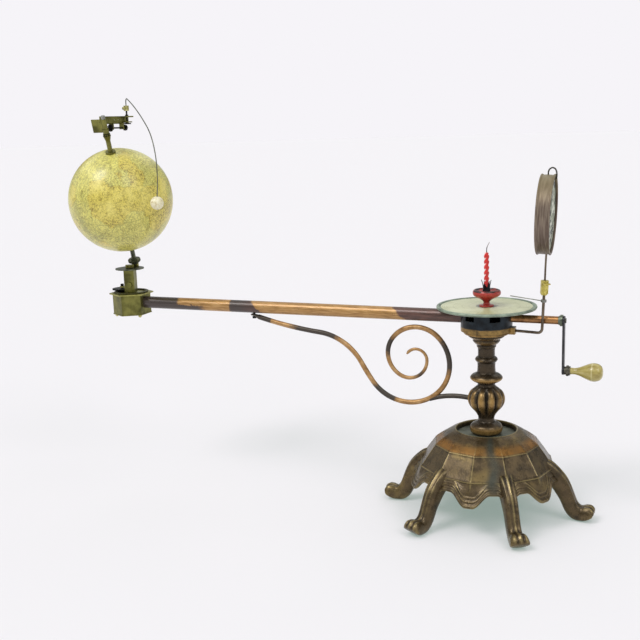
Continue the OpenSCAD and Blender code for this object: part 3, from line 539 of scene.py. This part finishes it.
# Bronze powder on black lacquer: a satin gold with 8 mm patches where the black shows.
gilt_iron, tree, shader = finish_named("gilded_black_iron_bar", 0.55, 0.4)
spot = add(tree, "TexCoord", out="Object")
patchy = add(tree, "TexNoise", {"Vector": spot, "Scale": 1000 / 8, "Detail": 5.0, "Roughness": 0.7})
bare = add(tree, "Attribute", out="Fac", attribute_name="mark")
bare = add(tree, "Math", (patchy, 0.9, bare), operation="MULTIPLY_ADD")
bare = add(tree, "MapRange", (bare, 0.72, 0.98))
gold = add(tree, "ValToRGB", (patchy,), stops=[(0.3, "#85623c"), (0.5, "#ab8353"), (0.7, "#c6a274")])
tone = add(tree, "MixRGB", (bare, gold, "#48413a"))
lay(tree, shader, tone, (patchy, 0.25, 0.0004), (patchy, 0.26, 0.52))
piece("scroll_bar", "arm", gilt_iron, [
    closed(swept(scroll_3d, thick, in_plane), mark=black_run[:, None]),
    closed(swept(tail_3d, 2.75, in_plane), mark=0.75),
    closed(swept(tab_3d, 1.2 + 1.7 * narrowing, in_plane, flat=3.0 - 2.0 * narrowing), mark=1.0)],
    ["scroll_bracket"])
dress(soot_steel, "bracket_screws")


# ---- calendar disc ----
# A spun disc with a raised rim, painted grey-green, that stays still while the arm turns. A printed and
# varnished paper chart of rings and months is glued on it, and wax and soot have stained its middle.
disc_paint = metal("worn_grey_green_enamel", "#5f6c5e", "#92a08c", 0.4, 10, metallic=0.25)
dress(disc_paint, "calendar_disc")
# Yellowed paper under varnish: a soft shine, pale and dark clouds 22 mm wide, and faded thin print.
chart, tree, shader = finish_named("varnished_printed_paper_chart", 0.0, 0.38, **{"Coat Weight": 0.35})
spot = add(tree, "TexCoord", out="Object")
axes = add(tree, "SeparateXYZ", (spot,), out=None)
from_middle = add(tree, "VectorMath", (spot, (1, 1, 0)), operation="MULTIPLY")
from_middle = add(tree, "VectorMath", (from_middle,), out="Value", operation="LENGTH")
direction = add(tree, "Math", (axes.outputs["Y"], axes.outputs["X"]), operation="ARCTAN2")


def line(tree, value, at, width):
    """A mask that is 1 where value is within half the width of at."""
    return add(tree, "Math", (value, at, width / 2), operation="COMPARE")


def either(tree, masks):
    """The strongest of some masks."""
    strongest = masks[0]
    for mask in masks[1:]:
        strongest = add(tree, "Math", (strongest, mask), operation="MAXIMUM")
    return strongest


def spokes(tree, direction, count, share, low, high):
    """A mask of radial lines: count of them, each taking that share of its step, from low to high metres."""
    turn_share = add(tree, "Math", (direction, count / math.tau), operation="MULTIPLY")
    turn_share = add(tree, "Math", (turn_share,), operation="FRACT")
    thin = add(tree, "Math", (turn_share, share), operation="LESS_THAN")
    here = line(tree, from_middle, (low + high) / 2, high - low)
    return add(tree, "Math", (thin, here), operation="MULTIPLY")


rings = [line(tree, from_middle, r, 0.00035) for r in (0.0475, 0.0455, 0.0432, 0.036, 0.0265, 0.019)]
printed = either(tree, rings
                 + [spokes(tree, direction, 12, 0.018, 0.0190, 0.0455),
                    spokes(tree, direction, 72, 0.09, 0.0455, 0.0475),
                    spokes(tree, direction, 24, 0.03, 0.0360, 0.0432)])
age = add(tree, "TexNoise", {"Vector": spot, "Scale": 1000 / 22, "Detail": 6.0, "Roughness": 0.65})
paper = add(tree, "ValToRGB", (age,), stops=[(0.3, "#aeb082"), (0.5, "#c3c49a"), (0.7, "#cfd2ae")])
sooty = add(tree, "MapRange", (from_middle, 0.019, 0.006))
drips = add(tree, "TexNoise", {"Vector": spot, "Scale": 1000 / 5, "Detail": 4.0, "Roughness": 0.7})
sooty = add(tree, "Math", (drips, sooty), operation="MULTIPLY")
sooty = add(tree, "MapRange", (sooty, 0.22, 0.36))
faded = add(tree, "MapRange", (age, 0.3, 0.6, 0.85, 0.35))
ink = add(tree, "Math", (printed, faded), operation="MULTIPLY")
tone = add(tree, "MixRGB", (ink, paper, "#6e6a3e"))
tone = add(tree, "MixRGB", (sooty, tone, "#463a1e"))
lay(tree, shader, tone, (age, 0.12, 0.0004))
dress(chart, "calendar_chart")


# ---- candle, cup and clip ----
# A turned tin cup, painted red over black, with a ring of black spring prongs that grip a small twisted
# cake candle of red wax. Soot has blackened the cup's rim, and the wick is bent from its last lighting.
cup_profile = through([
    (8.0, 234.56), (7.6, 235.8), (4.4, 236.5), (3.5, 237.6), (3.4, 239.2), (4.9, 241.0), (8.0, 243.0),
    (11.8, 244.8), (14.4, 246.7), (15.2, 248.7), (15.0, 250.6), (13.9, 252.2), (12.7, 252.5),
    (11.7, 251.4), (9.6, 250.3), (6.0, 249.9)], 90)
cup_turns = whole_turn(160)
dents = 1 + 0.012 * np.sin(3 * cup_turns + 0.4) + 0.008 * np.sin(7 * cup_turns)
# Black at the rim and in a band round the neck, where it flares into the bowl.
dark_rim_and_neck = step(cup_profile[:, 1:], 249.6, 252.4) * (0.65 + 0.35 * np.sin(5 * cup_turns)) + bump(
    cup_profile[:, 1:] - 241.5, 1.6) * (0.55 + 0.45 * np.sin(2 * cup_turns + 1))
# Brushed enamel: a glossy red with black showing in rubs 3 mm wide.
red_paint, tree, shader = finish_named("red_enamel_over_black", 0.1, 0.36, **{"Coat Weight": 0.3})
spot = add(tree, "TexCoord", out="Object")
rub = add(tree, "TexNoise", {"Vector": spot, "Scale": 1000 / 3, "Detail": 5.0, "Roughness": 0.7})
mark = add(tree, "Attribute", out="Fac", attribute_name="mark")
black = add(tree, "Math", (mark, 0.6, rub), operation="MULTIPLY_ADD")
black = add(tree, "MapRange", (black, 0.62, 0.78))
red = add(tree, "ValToRGB", (rub,), stops=[(0.3, "#8c2118"), (0.6, "#b93a30")])
tone = add(tree, "MixRGB", (black, red, "#2e1210"))
lay(tree, shader, tone, (rub, 0.2, 0.0003))
piece("candle_cup_shell", "stand", red_paint,
      [closed(turned(cup_profile, 160, dents), mark=dark_rim_and_neck)], ["candle_cup"])

prongs = [closed(turned(through([(3.9, 249.7), (4.2, 251), (3.9, 253), (3.3, 255.6)], 16), 40))]
prong_rise = np.linspace(0, 1, 18)
for k, (tall, lean_out) in enumerate([(12.6, 5.0), (8.6, 6.6), (11.4, 3.8), (13.2, 5.6), (9.4, 6.2),
                                      (11.8, 4.6)]):
    turn = math.radians(k * 60 + 22)
    out = 3.3 + (lean_out - 3.3) * prong_rise ** 2.2
    outward = np.array([math.cos(turn), math.sin(turn), 0])
    sideways = np.array([-math.sin(turn), math.cos(turn), 0])
    rise = out[:, None] * outward + np.stack([0 * out, 0 * out, 250.4 + tall * prong_rise], -1)
    blade = 1.7 * (1 - prong_rise ** 2) + 0.3
    prongs.append(closed(swept(rise, 0.4, sideways, 14, blade / 0.4)))
piece("candle_prongs", "stand", soot_steel, prongs, ["candle_clip"])

candle_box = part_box("candle")
low, high = candle_box[0].z * 1000, candle_box[1].z * 1000
candle_turns = whole_turn(48)
bead_rise, dome = 6.0, 1.2
climb = np.append(np.linspace(low, high - dome, 260),
                  high - dome + dome * np.sin(np.radians(np.linspace(6, 90, 14))))
taper = np.append(np.ones(260), np.cos(np.radians(np.linspace(6, 84, 14))))
beads = np.cos(math.tau * (climb[:, None] - low) / bead_rise)
twist = np.cos(2 * candle_turns[None, :] - math.tau * climb[:, None] / bead_rise) - 0.6 * beads
candle_grid = turned(np.stack([taper, climb], 1), 48, 2.5 + 0.16 * twist - 0.12 * beads)
# Dyed wax: light sinks a little way in, and the furrows of the twist are paler: partly pale wax, partly
# a painted highlight.
wax, tree, shader = finish_named("twisted_red_wax", 0.0, 0.3, **{
    "Subsurface Weight": 0.25, "Subsurface Radius": (0.002, 0.0006, 0.0004), "Subsurface Scale": 1.0})
mark = add(tree, "Attribute", out="Fac", attribute_name="mark")
# Pale pink in the furrows of the twist: partly pale wax, partly a painted highlight.
pale_and_highlit = add(tree, "MapRange", (mark, -0.7, -1.1))
bloom = add(tree, "TexNoise", {"Vector": add(tree, "TexCoord", out="Object"), "Scale": 1000 / 2})
red = add(tree, "ValToRGB", (bloom,), stops=[(0.35, "#c41f1c"), (0.65, "#da3430")])
tone = add(tree, "MixRGB", (pale_and_highlit, red, "#f6cfc6"))
lay(tree, shader, tone)
piece("twisted_candle", "candle_body", wax, [closed(candle_grid, mark=twist)], ["candle"])

wick_line = through([(0, 0, high - 0.6), (0.1, 0, high + 2.5), (0.3, 0, high + 4.8), (1.1, 0, high + 7.2),
                     (2.3, 0, high + 9.4), (3.0, 0, high + 11.4)], 30)
burnt_wick, tree, shader = finish_named("burnt_cotton_wick", 0.0, 0.9)
height_at = add(tree, "SeparateXYZ", (add(tree, "TexCoord", out="Object"),), out="Z")
tone = add(tree, "ValToRGB", {0: add(tree, "MapRange", (height_at, high / 1000, high / 1000 + 0.008))},
    stops=[(0.0, "#3a3230"), (0.6, "#4b4544"), (1.0, "#8f8884")])
lay(tree, shader, tone)
piece("bent_wick", "candle_body", burnt_wick,
      [closed(swept(wick_line, 0.55 - 0.25 * np.linspace(0, 1, 30), (0, 1.0, 0), 10))], ["wick"])


# ---- reflector ----
# A shallow tin pan with beaded edges that throws the candle's light at the globe. Its band was lacquered
# brown and its back is bare tin, spotted black. A bent rod, a brass clamp and a thumb screw hold it.
swivel = joints["reflector_swivel"]
upward = np.array(swivel["axis"])
lean = math.asin(upward[0])
rod_base_z = 209.0
rod_foot = np.array(swivel["pos_m"]) * 1000
rod_foot = rod_foot - upward * (rod_foot[2] - rod_base_z) / upward[2]
drum_turn = math.radians(3.6)
pan_r = 42.0


def facing_x(profile, count, centre, swell=None):
    """A turned shape whose axis is level, along X: each (radius, distance along X) of the profile."""
    grid = turned(profile, count, swell)
    return np.stack([grid[..., 2] + centre[0], grid[..., 0] + centre[1], grid[..., 1] + centre[2]], -1)


def on_rod(points, turn=0.0):
    """Points of the rod's own frame, which leans away from the candle. turn is a turn round the rod."""
    x, y, z = np.moveaxis(points, -1, 0)
    x, y, z = x * math.cos(turn) - y * math.sin(turn), x * math.sin(turn) + y * math.cos(turn), z - rod_base_z
    return np.stack([x * math.cos(lean) + z * math.sin(lean) + rod_foot[0], y + rod_foot[1],
                     z * math.cos(lean) - x * math.sin(lean) + rod_foot[2]], -1)


pan_turns = whole_turn(288)
band_outer = through([
    (39.8, 7.3), (41.0, 7.5), (41.9, 6.9), (41.6, 5.7), (41.1, 5.0), (41.15, 2.5), (41.2, 0),
    (41.15, -2.5), (41.1, -5.0), (41.6, -5.7), (41.9, -6.9), (41.0, -7.5), (39.8, -7.3)], 60)
band_inner = through([(39.6, -6.0), (39.9, -3.0), (39.9, 0), (39.9, 3.5), (39.6, 6.2)], 24)
band = np.vstack([band_outer, band_inner])
beading = 1 + 0.004 * np.cos(96 * pan_turns) * bump(np.abs(band[:, 1:]) - 6.6, 0.9)
beading = beading + 0.0025 * np.sin(2 * pan_turns + 0.7)
back = through([(0.4, 5.2), (10, 5.2), (24, 5.1), (36, 4.9), (40.0, 4.6)], 60)
back[:, 1] += 0.35 * np.sin(back[:, 0] * 0.9)
front = through([(40.0, -5.6), (36.5, -3.6), (31, -0.6), (22, 2.4), (12, 4.0), (0.4, 4.6)], 50)
dish = np.vstack([back, front])
dish_side = np.append(1 + step(back[:, 0], 36.4, 37.6), np.full(50, 3.0))[:, None]
pan_at = (-2.2, 0, 335.0)
hook_line = through([
    (-0.2, 0, -2.0), (-0.3, 0, 1.6), (0.6, 0, 4.4), (3.2, 0, 6.3), (6.2, 0, 5.4), (7.8, 0, 2.6),
    (8.4, 0, -1.2), (8.1, 0, -5.0)], 48) + np.array([pan_at[0], 0, pan_at[2] + pan_r])
# Rolled tinplate: lacquer streaks 1.8 mm apart round the band, and a bare back with 9 mm black spots.
tin, tree, shader = finish_named("lacquered_and_spotted_tin", 0.55, 0.42)
spot = add(tree, "TexCoord", out="Object")
axes = add(tree, "SeparateXYZ", (spot,), out=None)
mark = add(tree, "Attribute", out="Fac", attribute_name="mark")
rolled = add(tree, "Mapping", {"Vector": spot, "Scale": (1.0, 0.1, 0.1)})
lines = add(tree, "TexNoise", {"Vector": rolled, "Scale": 1000 / 1.8, "Detail": 3.0})
clouds = add(tree, "TexNoise", {"Vector": spot, "Scale": 1000 / 20, "Detail": 5.0, "Roughness": 0.65})
band_tone = add(tree, "ValToRGB", (lines,), stops=[(0.3, "#54443a"), (0.5, "#716256"), (0.7, "#8d7f6e")])
# The band turns lighter towards its top: a painted highlight from the lamps above.
painted_top_light = add(tree, "MapRange", (axes.outputs["Z"], 0.345, 0.378, 0, 0.7))
band_tone = add(tree, "MixRGB", (painted_top_light, band_tone, "#968862"))
wire_share = add(tree, "Math", (mark, -1.0), operation="MULTIPLY", use_clamp=True)
band_tone = add(tree, "MixRGB", (wire_share, band_tone, "#3d3a31"))
specks = add(tree, "TexNoise", {"Vector": spot, "Scale": 1000 / 9, "Detail": 4.0, "Roughness": 0.75})
black_spot = add(tree, "MapRange", (specks, 0.51, 0.55))
back_tone = add(tree, "ValToRGB", (clouds,), stops=[(0.3, "#596150"), (0.48, "#8b9276"), (0.62, "#d9dccb")])
back_tone = add(tree, "MixRGB", (black_spot, back_tone, "#16170f"))
at_rim = add(tree, "MapRange", (mark, 1.2, 1.8))
back_tone = add(tree, "MixRGB", (at_rim, back_tone, "#38372a"))
on_back = add(tree, "MapRange", (mark, 0.45, 0.55))
tone = add(tree, "MixRGB", (on_back, band_tone, back_tone))
front_tone = add(tree, "ValToRGB", (clouds,), stops=[(0.3, "#8d8f7c"), (0.6, "#c9c9bd")])
on_front = add(tree, "MapRange", (mark, 2.4, 2.6))
tone = add(tree, "MixRGB", (on_front, tone, front_tone))
lay(tree, shader, tone, (lines, 0.2, 0.0004))
piece("reflector_pan", "reflector", tin, [
    closed(on_rod(facing_x(band, 288, pan_at, beading), drum_turn), ring=True),
    closed(on_rod(facing_x(dish, 288, pan_at), drum_turn), mark=dish_side),
    closed(on_rod(swept(hook_line, 0.78, (0, 1.0, 0), 14), drum_turn), mark=-1.0)], ["reflector_drum"])

rod_steel = metal("brown_drawn_wire", "#4d4034", "#7c6f5e", 0.4, 12)
stem = through([(0, 0, 255.6), (0.1, 0, 266), (-0.1, 0, 280), (0, 0, 294.2)], 60)
piece("reflector_stem_wire", "reflector", rod_steel,
      [closed(on_rod(swept(stem, 1.05, (0, 1.0, 0), 18)))], ["reflector_stem"])
slant = math.radians(-11)
rod_run = np.array([math.cos(slant), math.sin(slant), 0])
tilt_back = math.pi / 2 - lean
knee_turn = np.linspace(0, tilt_back, 14)[:, None]
knee_r = 5.0
knee_start = rod_foot - rod_run * knee_r * math.tan(tilt_back / 2)
bend = knee_start + rod_run * knee_r * np.sin(knee_turn) + np.array([0, 0, knee_r]) * (1 - np.cos(knee_turn))
rod_path = np.vstack([rod_foot - rod_run * np.linspace(32.0, 5.4, 20)[:, None], bend,
                      rod_foot + upward * np.linspace(6, 45.5, 30)[:, None]])
piece("reflector_post", "arm", rod_steel,
      [closed(swept(rod_path, 1.5, (-math.sin(slant), math.cos(slant), 0), 20))], ["reflector_rod"])
pale_brass = metal("yellow_cast_brass", "#9c8b3c", "#d8ca70", 0.3, 4)
grey_wire = metal("grey_drawn_wire", "#6f706a", "#a3a49c", 0.34, 8)
dress(pale_brass, "rod_clamp", "thumb_screw")
dress(grey_wire, "date_pointer")


# ---- hand crank ----
# A flat black steel lever on the drive shaft, with a turned horn grip that runs free on its pin. The
# horn is polished by hands, and a lighter line runs round it at its widest.
grip_low, grip_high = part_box("crank_grip")
grip_z = (grip_low.z + grip_high.z) * 500
grip_x = grip_low.x * 1000 - 8.6
grip_profile = through([
    (3.6, 8.7), (3.5, 11), (3.4, 13), (4.0, 16.2), (5.2, 19.6), (6.9, 23.4), (8.5, 27.2), (9.5, 30.4),
    (9.8, 33), (9.5, 36), (8.4, 39), (6.2, 41.2), (3.4, 42.3), (0.3, 42.6)], 120)
# Cow horn, turned and polished: a deep gloss over long growth streaks 5 mm wide.
horn, tree, shader = finish_named("polished_horn", 0.0, 0.3, **{"Coat Weight": 0.5, "Coat Roughness": 0.15})
spot = add(tree, "TexCoord", out="Object")
grown = add(tree, "Mapping", {"Vector": spot, "Scale": (0.25, 1.0, 1.0)})
growth = add(tree, "TexNoise", {"Vector": grown, "Scale": 1000 / 5, "Detail": 5.0, "Roughness": 0.6})
tone = add(tree, "ValToRGB", (growth,), stops=[(0.3, "#8b7a38"), (0.5, "#a99a55"), (0.7, "#bdb072")])
mark = add(tree, "Attribute", out="Fac", attribute_name="mark")
tone = add(tree, "MixRGB", (mark, tone, "#e6dfae"))
lay(tree, shader, tone, (growth, 0.08, 0.0003))
light_line = 0.45 * bump(grip_profile[:, 1:] - 31.5, 0.6)
piece("horn_grip", "grip", horn,
      [closed(facing_x(grip_profile, 96, (grip_x, 0, grip_z)), mark=light_line)], ["crank_grip"])
dress(metal("grey_green_steel", "#565d50", "#858d7c", 0.36, 6), "crank_flange")
dress(metal("black_forged_steel", "#29292b", "#4c4c4f", 0.36, 9), "crank_arm")
dress(metal("dark_turned_ferrule", "#3c3a33", "#6c685c", 0.32, 5), "grip_ferrule", "grip_pin")


# ---- gearbox and globe table ----
# A six-sided box of sheet brass on the arm's end, closed with three long screws. On its lid a toothed
# ring drives the day train, and a brass block carries the tilted axis on a round plate.
box_brass = metal("olive_tarnished_sheet_brass", "#55532b", "#858247", 0.36, 14)
light_brass = metal("rubbed_sheet_brass", "#7c793f", "#b0ab63", 0.34, 9)
dark_gear = metal("oiled_black_gear_steel", "#151511", "#302f28", 0.4, 4)
screw_end = metal("yellow_screw_brass", "#a29a58", "#d6cf92", 0.32, 3)
plate_steel = metal("grey_green_plate", "#3a3d36", "#72755f", 0.4, 9)
dress(box_brass, "gearbox_shell", "gearbox_floor", "table_post", "table_wheel")
dress(light_brass, "gearbox_lid", "planet_cock", "axis_socket", "day_arbor")
dress(metal("dark_olive_ring", "#2c2b1a", "#5f5d36", 0.4, 5), "lid_ring")
dress(dark_gear, "planet_arbor", "planet_wheel")
dress(screw_end, "gearbox_screws")
dress(plate_steel, "table_plate", "lower_sleeve", "axis_rod")


# ---- globe ----
# A hollow pasteboard ball covered with printed paper gores and many coats of varnish, which has turned
# yellow and darkened over the land. It spins on the tilted rod.
spin = joints["globe_spin"]
pole = np.array(spin["axis"])
foot = np.array(spin["pos_m"]) * 1000
globe_low, globe_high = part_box("globe_ball")
globe_middle = np.array((globe_low + globe_high) * 500)
globe_r = (globe_high.x - globe_low.x) * 500
east = np.cross([0, 1.0, 0], pole)
east /= np.linalg.norm(east)
north_frame = np.stack([east, np.cross(pole, east), pole])
latitude = np.radians(np.linspace(-87.5, 87.5, 120))[:, None]
longitude = whole_turn(240)[None, :]
seams = 1 - 0.0006 * bump((np.degrees(longitude) + 15) % 30 - 15, 0.8)
local = np.stack([np.cos(latitude) * np.cos(longitude), np.cos(latitude) * np.sin(longitude),
                  np.sin(latitude) + 0 * longitude], -1)
globe_grid = globe_middle + globe_r * seams[..., None] * (local @ north_frame)
# Printed paper under yellow varnish: a broad soft gloss, fine crackle every 2.4 mm, and print too crowded
# to read, drawn 2.3 mm coarse so that it shows. The patterns lie on a ball of radius 1.
ball_mm = 62.5
paper, tree, shader = finish_named("varnished_globe_paper", 0.0, 0.42, **{
    "Coat Weight": 0.55, "Coat Roughness": 0.22, "Coat IOR": 1.5})
chart_at = add(tree, "Attribute", out="Vector", attribute_name="chart")
axes = add(tree, "SeparateXYZ", (chart_at,), out=None)
meridian = add(tree, "Math", (axes.outputs["Y"], axes.outputs["X"]), operation="ARCTAN2")
parallel = add(tree, "Math", (axes.outputs["Z"],), operation="ARCSINE")
to_pole = add(tree, "Math", (parallel,), operation="COSINE")


def graticule(tree, angle, per_turn, width, stretch=None):
    """Lines at every whole step of an angle. width is a line's width in radians of the ball, and stretch is
    how far a step shrinks towards the poles, so that the line keeps its width."""
    steps = add(tree, "Math", (angle, per_turn / math.tau, 0.5), operation="MULTIPLY_ADD")
    steps = add(tree, "Math", (steps,), operation="FRACT")
    steps = add(tree, "Math", (steps, 0.5), operation="SUBTRACT")
    away = add(tree, "Math", (steps,), operation="ABSOLUTE")
    away = add(tree, "Math", (away, math.tau / per_turn), operation="MULTIPLY")
    if stretch:
        away = add(tree, "Math", (away, stretch), operation="MULTIPLY")
    return add(tree, "MapRange", (away, width, width * 0.4))


net = either(tree, [graticule(tree, parallel, 24, 0.0055), graticule(tree, meridian, 24, 0.0055, to_pole)])
tropics = [add(tree, "Math", (line(tree, parallel, at, 0.01), 0.7), operation="MULTIPLY")
           for at in (0.41, -0.41)]
heavy = either(tree, [line(tree, parallel, 0.0, 0.022), *tropics])
shores = add(tree, "TexNoise", {"Vector": chart_at, "Scale": 1.35, "Detail": 9.0, "Roughness": 0.52,
                                "Distortion": 0.25})
land = add(tree, "MapRange", (shores, 0.512, 0.522))
shore = line(tree, shores, 0.517, 0.011)
browning = add(tree, "TexNoise", {"Vector": chart_at, "Scale": 2.2, "Detail": 6.0, "Roughness": 0.6})
names = add(tree, "TexNoise", {"Vector": chart_at, "Scale": ball_mm / 2.3, "Detail": 4.0, "Roughness": 0.8,
                               "Distortion": 1.2})
speckle = add(tree, "MapRange", (names, 0.5, 0.54))
currents = add(tree, "TexWave", {"Vector": chart_at, "Scale": 9.0, "Distortion": 14.0, "Detail": 2.0,
                                 "Detail Scale": 0.8}, out=1, wave_type="RINGS")
currents = add(tree, "MapRange", (currents, 0.62, 0.95))
sea_tone = add(tree, "ValToRGB", (browning,),
               stops=[(0.32, "#c2be66"), (0.46, "#d8d06a"), (0.6, "#e2d974"), (0.75, "#ebe394")])
land_tone = add(tree, "ValToRGB", (browning,),
                stops=[(0.32, "#c3b04c"), (0.5, "#d9c85a"), (0.7, "#e8da78")])
tone = add(tree, "MixRGB", (land, sea_tone, land_tone))
sea_only = add(tree, "Math", (1.0, land), operation="SUBTRACT")
flow = add(tree, "Math", (currents, sea_only), operation="MULTIPLY")
flow = add(tree, "Math", (flow, 0.4), operation="MULTIPLY")
tone = add(tree, "MixRGB", (flow, tone, "#7f8148"))
crowded = add(tree, "MapRange", (browning, 0.62, 0.42, 0.3, 0.95))
named = add(tree, "MapRange", (land, 0, 1, 0.7, 1.0))
named = add(tree, "Math", (crowded, named), operation="MULTIPLY")
named = add(tree, "Math", (speckle, named), operation="MULTIPLY")
tone = add(tree, "MixRGB", (named, tone, "#78661c"))
ink = add(tree, "Math", (either(tree, [heavy, shore]), 0.3), operation="MULTIPLY")
thin_ink = add(tree, "Math", (net, 0.2), operation="MULTIPLY")
ink = either(tree, [ink, thin_ink])
tone = add(tree, "MixRGB", (ink, tone, "#6f6a2c"))
crackle = add(tree, "TexVoronoi", {"Vector": chart_at, "Scale": ball_mm / 2.4}, feature="DISTANCE_TO_EDGE")
crackle = add(tree, "MapRange", (crackle, 0, 0.05))
lay(tree, shader, tone, (crackle, 0.12, 0.0002))
globe = piece("printed_globe", "globe", paper, [closed(globe_grid)], ["globe_ball"])
stored = np.vstack([local.reshape(-1, 3), [[0, 0, -1], [0, 0, 1]]]).astype(np.float32)
globe.data.attributes.new("chart", "FLOAT_VECTOR", "POINT").data.foreach_set("vector", stored.reshape(-1))


# ---- moon and its drive ----
# A strip of brass on the tilted rod carries a small arbor and an upright spindle. A faceted brass boss on
# the spindle swings the moon, a turned bone ball, round the globe on a spring wire.
dress(box_brass, "moon_bracket", "upper_sleeve")
dress(dark_gear, "moon_arbor", "moon_spindle")
dress(grey_wire, "rod_cap")
dress(screw_end, "wire_clamp")
orbit = joints["moon_orbit"]
spindle_x, spindle_y = orbit["pos_m"][0] * 1000, orbit["pos_m"][1] * 1000
moon_low, moon_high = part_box("moon_ball")
moon_middle = np.array((moon_low + moon_high) * 500)
swing = math.atan2(moon_middle[1] - spindle_y, moon_middle[0] - spindle_x)
outward = np.array([math.cos(swing), math.sin(swing), 0])
wire_rz, _ = bent((0, 463), 90, [(-2000, 0.13), (-3.9, 109), (-297, 14.5), (-56, 58.5), (-97, 21)], 0.6)
wire = np.array([spindle_x, spindle_y, 0]) + wire_rz[:, :1] * outward + wire_rz[:, 1:] * np.array([0, 0, 1.0])
wire_dark = metal("grey_green_spring_wire", "#4d4f45", "#77796c", 0.34, 8)
piece("moon_spring_wire", "moon", wire_dark,
      [closed(swept(wire, 0.62, (-outward[1], outward[0], 0), 12))], ["moon_wire"])
moon_r = (moon_high.z - moon_low.z) * 500
arc = np.radians(np.linspace(-88, 88, 72))
moon_profile = np.stack([moon_r * np.cos(arc), moon_r * np.sin(arc)], -1)
# Turned bone: cream, with a low polish and brown pores 2.5 mm apart.
bone, tree, shader = finish_named("aged_bone", 0.0, 0.4, **{"Coat Weight": 0.3})
spot = add(tree, "TexCoord", out="Object")
pores = add(tree, "TexNoise", {"Vector": spot, "Scale": 1000 / 2.5, "Detail": 5.0, "Roughness": 0.7})
tone = add(tree, "ValToRGB", (pores,), stops=[(0.32, "#b79c6c"), (0.46, "#e0d6ae"), (0.68, "#efe9cf")])
lay(tree, shader, tone, (pores, 0.3, 0.0004))
piece("bone_moon", "moon", bone, [closed(turned(moon_profile, 96) + moon_middle)], ["moon_ball"])
